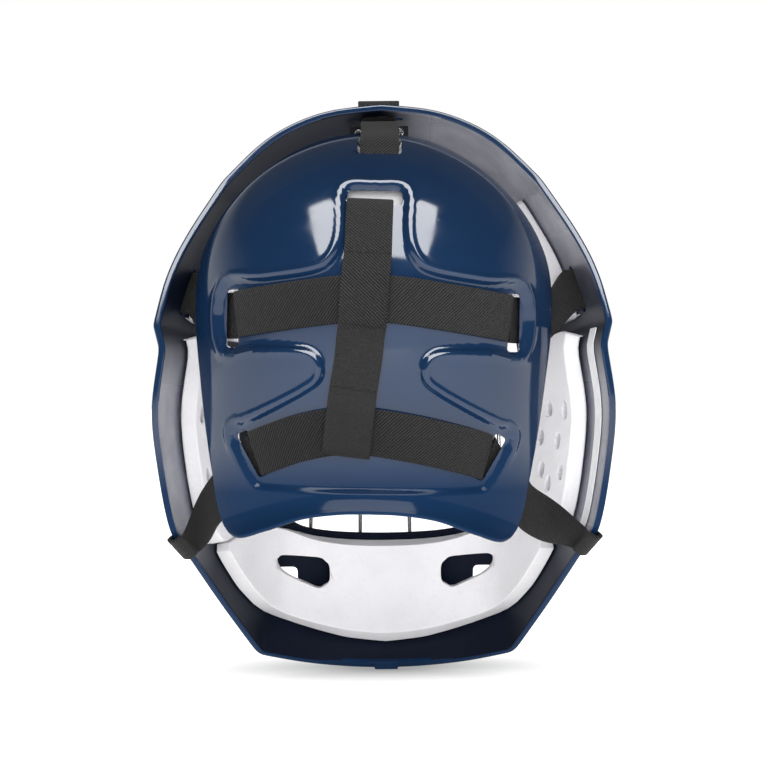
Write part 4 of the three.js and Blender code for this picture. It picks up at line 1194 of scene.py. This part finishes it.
def crown_strap():
    slot_x, (on_the_plate, on_the_shell) = CROWN_STRAP_SLOT["x"], CROWN_STRAP["widths"]
    plate = [(*on_plate(slot_x, z, h), *ALONG_X, on_the_plate) for z, h in CROWN_STRAP["plate"]]
    free = [(CROWN_STRAP["x"], y, z, *ALONG_X, width) for y, z, width in CROWN_STRAP["free"]]
    shell = [(*from_shell(0, level, h), *ALONG_X, on_the_shell) for level, h in CROWN_STRAP["shell"]]
    return plate + free + shell, free[0][:3], free[2][:3]


def stitch_row(height, count=13):
    """Short threads across the upright strap."""
    path = smooth_curve(UPRIGHT_STRAP, 240)
    i = int(np.argmin(np.abs(path[:, 1] - height)))
    x, z, h = path[i]
    lean = (path[i + 1, 0] - path[i - 1, 0]) / (path[i + 1, 1] - path[i - 1, 1])
    threads = []
    for across in spread(-STRAP_WIDTH / 2 + 1.2, STRAP_WIDTH / 2 - 1.2, count):
        centre = on_plate(x + across, z - across * lean, h + STRAP_THICK / 2 + 0.05)
        threads.append(ball(centre, THREAD_RADII, 8))
    return threads


def make_webbing():
    on_the_plate = [
        ("harness_upper_strap", plate_band(UPPER_STRAP, 150), "strap_upper"),
        ("harness_lower_strap", plate_band(LOWER_STRAP, 130), "strap_lower"),
        ("harness_upright_strap", plate_band(UPRIGHT_STRAP, 150, FUZZ_BELOW), "strap_upright"),
    ]
    for name, (shape, weave), cad in on_the_plate:
        finished(mesh_object(name, *shape, weave), WEBBING, PLATE_BODY, [cad], sharp=70)
    rows = joined([thread for height in STITCH_ROWS for thread in stitch_row(height)])
    weave = stacked(0, 0, np.ones(len(rows[0])))
    finished(mesh_object("harness_stitching", *rows, weave), WEBBING, PLATE_BODY, sharp=70)
    tails = [("crown_hanger_strap", crown_strap(), "crown_strap")]
    for side, sign in SIDES:
        tails.append((f"upper_tail_{side}", upper_tail(sign), f"upper_strap_end_{side}"))
        tails.append((f"lower_tail_{side}", lower_tail(sign), f"lower_strap_end_{side}"))
    for name, (stations, start, end), cad in tails:
        shape, weave = free_band(stations, 160)
        piece = finished(mesh_object(name, *shape, weave), WEBBING, None, [cad], sharp=70)
        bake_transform(piece)


# ---- small hardware
SNAP = {"cap": 6, "height": 2.6, "shoulder": 0.8, "stem": 1.8, "flange": 4}
STRAP_ON_SHELL = 1.5
RIVET = {"x": 11.6, "z": 140.2, "ring": 2.5, "bore": 1, "stem": 1.6}
BRACKET = {"x": 1.2, "rear": -6.4, "thick": 1.5}
LOOP = {"wider": 1.5, "rear": 3.2, "lower": 2.5, "squash": 0.75, "turns": (1.06, 1.94)}
LABEL_PLACE = {"sections": (AROUND - 11.4, AROUND - 7.3), "levels": (0.87, 0.93)}


def snap_shape(under, flange_top):
    cap, stem, flange = (SNAP[k] for k in ("cap", "stem", "flange"))
    return turned([
        (0, flange_top - 1), (flange - 0.3, flange_top - 1), (flange, flange_top - 0.7),
        (flange, flange_top), (stem, flange_top), (stem, under), (cap - 0.4, under), (cap, under + 0.35),
        *domed_head(cap, under, SNAP["shoulder"], SNAP["height"], 8),
    ], 40)


def make_snaps():
    under = STRAP_ON_SHELL + STRAP_THICK / 2 + GAP
    for kind, section, level in (
        ("upper", UPPER_SLOT["section"], UPPER_SNAP_LEVEL),
        ("lower", LOWER_TAIL_SECTION, LOWER_SNAP_LEVEL),
    ):
        for side, s in mirrored_sections(section):
            shape = at_shell(snap_shape(under, -WALL - GAP), s, level)
            new_piece(f"snap_rivet_{kind}_{side}", shape, CHROME, SHELL_BODY, f"snap_{kind}_{side}")
    shape = at_shell(snap_shape(under, -WALL - 1.2), 0.0, CROWN_SNAP_LEVEL)
    new_piece("snap_rivet_crown", shape, CHROME, SHELL_BODY, "crown_snap")


def make_crown():
    keep_cad("crown_bracket", DARK_METAL, 0.4)
    front = -BRACKET["thick"] - GAP
    ring, bore, stem = RIVET["ring"], RIVET["bore"], RIVET["stem"]
    half = (ring - bore) / 2
    roll = [(bore + half + half * math.cos(a), GAP + 0.3 + math.sin(a)) for a in angles(0, 180, 10)]
    shape = turned_ring([
        (bore, front - 1), (ring - 0.8, front - 1), (ring - 0.6, front - 0.7), (ring - 0.6, front),
        (stem, front), (stem, GAP), *roll,
    ])
    for side, sign in SIDES:
        origin = np.array([BRACKET["x"] + sign * RIVET["x"], BRACKET["rear"], RIVET["z"]])
        rivet = moved(shape, origin, ALONG_Z, ALONG_X, ALONG_Y)
        new_piece(f"crown_tubular_rivet_{side}", rivet, CHROME, SHELL_BODY, f"crown_rivet_{side}")
    radius = RIVET["x"] + LOOP["wider"]
    start, end = LOOP["turns"]
    a = spread(math.pi * start, math.pi * end, 48)
    drop = radius * LOOP["squash"] * np.sin(a)
    path = stacked(
        BRACKET["x"] + radius * np.cos(a), BRACKET["rear"] + LOOP["rear"], RIVET["z"] - LOOP["lower"] + drop,
    )
    new_piece("crown_wire_loop", tube(path, 1, ALONG_Y), CHROME, SHELL_BODY, "crown_loop")


def make_label():
    shape = wall_pad(**LABEL_PLACE, thick=0.4, base=GAP, corner=1.2, wave=0)
    new_piece("blank_label", shape, LABEL, SHELL_BODY, "blank_sticker", sharp=50)


# ---- studio
WORLD_DIM = 0.05
FLOOR_HALF = 12  # metres
FLOOR_GLOW_AND_PAINTED_SHADOW = (0.22, 1.35)  # under the object, turned down there as a painted shadow, and away from it
FLOOR_GLOW_OVER = (0.01, 0.085)  # metres over which it grows
UNDER_CHIN = (0, 0.07, 0)  # metres from the glow's middle to the origin
GLOW_SQUASH = (0.5, 1, 1)
CAMERA_DISTANCE = 980
CAMERA_ROLL = math.radians(-0.56)
LENS, SENSOR = 82.8, 36


def studio_world():
    """White to look at. The object sees it bright beyond the face and below, dim above and behind."""
    world = bpy.data.worlds.new("studio")
    bpy.context.scene.world = world
    world.use_nodes = True
    tree = world.node_tree
    _, back, up = axes_of(tree, "Generated")
    forward = ramp(tree, back, 0.95, WORLD_DIM, -0.45, 0.1)
    overhead = ramp(tree, up, 1.0, 0.1, 0.2, 0.5)
    below = ramp(tree, up, 1.0, WORLD_DIM, -0.02, 0.0)
    glow = maths(tree, "MAXIMUM", maths(tree, "MULTIPLY", forward, overhead), below)
    seen = node(tree, "LightPath").outputs["Is Camera Ray"]
    painted(tree, tree.nodes["Background"], Strength=maths(tree, "MAXIMUM", seen, glow), Color=(1, 1, 1))


def softbox(name, position, size, power, diffuse=True, glossy=True, target=(0, 0, 0)):
    light = bpy.data.lights.new(name, "AREA")
    light.shape = "RECTANGLE"
    light.size, light.size_y = size[0] * MM, size[1] * MM
    light.energy = power
    made = new_object(name, light)
    start, end = Vector(place(position)), Vector(place(target))
    made.location = start
    made.rotation_euler = (end - start).to_track_quat("-Z", "Y").to_euler()
    made.visible_camera = False
    made.visible_diffuse = diffuse
    made.visible_glossy = glossy


def make_floor():
    """A pale floor that glows plain white further off; near the object its glow is turned down as a painted
    shadow, over the soft real shadow that it takes.
    """
    mesh = bpy.data.meshes.new("floor")
    half = FLOOR_HALF
    corners = [(-half, -half, 0), (half, -half, 0), (half, half, 0), (-half, half, 0)]
    mesh.from_pydata(corners, [], [(0, 1, 2, 3)])
    floor = new_object("floor", mesh)
    made, tree, shader = new_material("white_floor", 0.9, Base_Color=(0.3, 0.3, 0.3), Specular_IOR_Level=0.0)
    vector = lambda kind, *values: node(tree, "VectorMath", dict(enumerate(values)), operation=kind)
    moved_back = vector("ADD", node(tree, "TexCoord").outputs["Object"], UNDER_CHIN).outputs[0]
    away = vector("LENGTH", vector("MULTIPLY", moved_back, GLOW_SQUASH).outputs[0]).outputs["Value"]
    # The glow dips near the chin: a painted shadow.
    glow = ramp(tree, away, *FLOOR_GLOW_AND_PAINTED_SHADOW, *FLOOR_GLOW_OVER)
    painted(tree, shader, Emission_Color=(1, 1, 1), Emission_Strength=glow)
    mesh.materials.append(made)


def make_camera():
    data = bpy.data.cameras.new("camera")
    data.lens = LENS
    data.sensor_width = SENSOR
    camera = new_object("camera", data)
    level = Matrix.Rotation(math.pi, 4, "Z") @ Matrix.Rotation(math.pi / 2, 4, "X")
    at = Matrix.Translation(place((0, CAMERA_DISTANCE, 0)).tolist())
    camera.matrix_world = at @ level @ Matrix.Rotation(CAMERA_ROLL, 4, "Z")
    bpy.context.scene.camera = camera


def make_studio():
    make_floor()
    make_camera()
    studio_world()
    softbox("softbox_top", (0, 600, 830), (1200, 780), 32, diffuse=False, target=(0, 90, 80))
    softbox("key", (-350, 500, 850), (900, 640), 1.8, glossy=False)
    softbox("fill_rear", (0, 1300, 250), (1200, 1200), 20, glossy=False)
    softbox("fill_face", (0, -900, 100), (900, 900), 12, glossy=False)
    bpy.context.scene.view_settings.view_transform = "Standard"


make_shell()
make_cage()
make_fixings()
make_liner()
make_plate()
make_webbing()
make_snaps()
make_crown()
make_label()
make_studio()
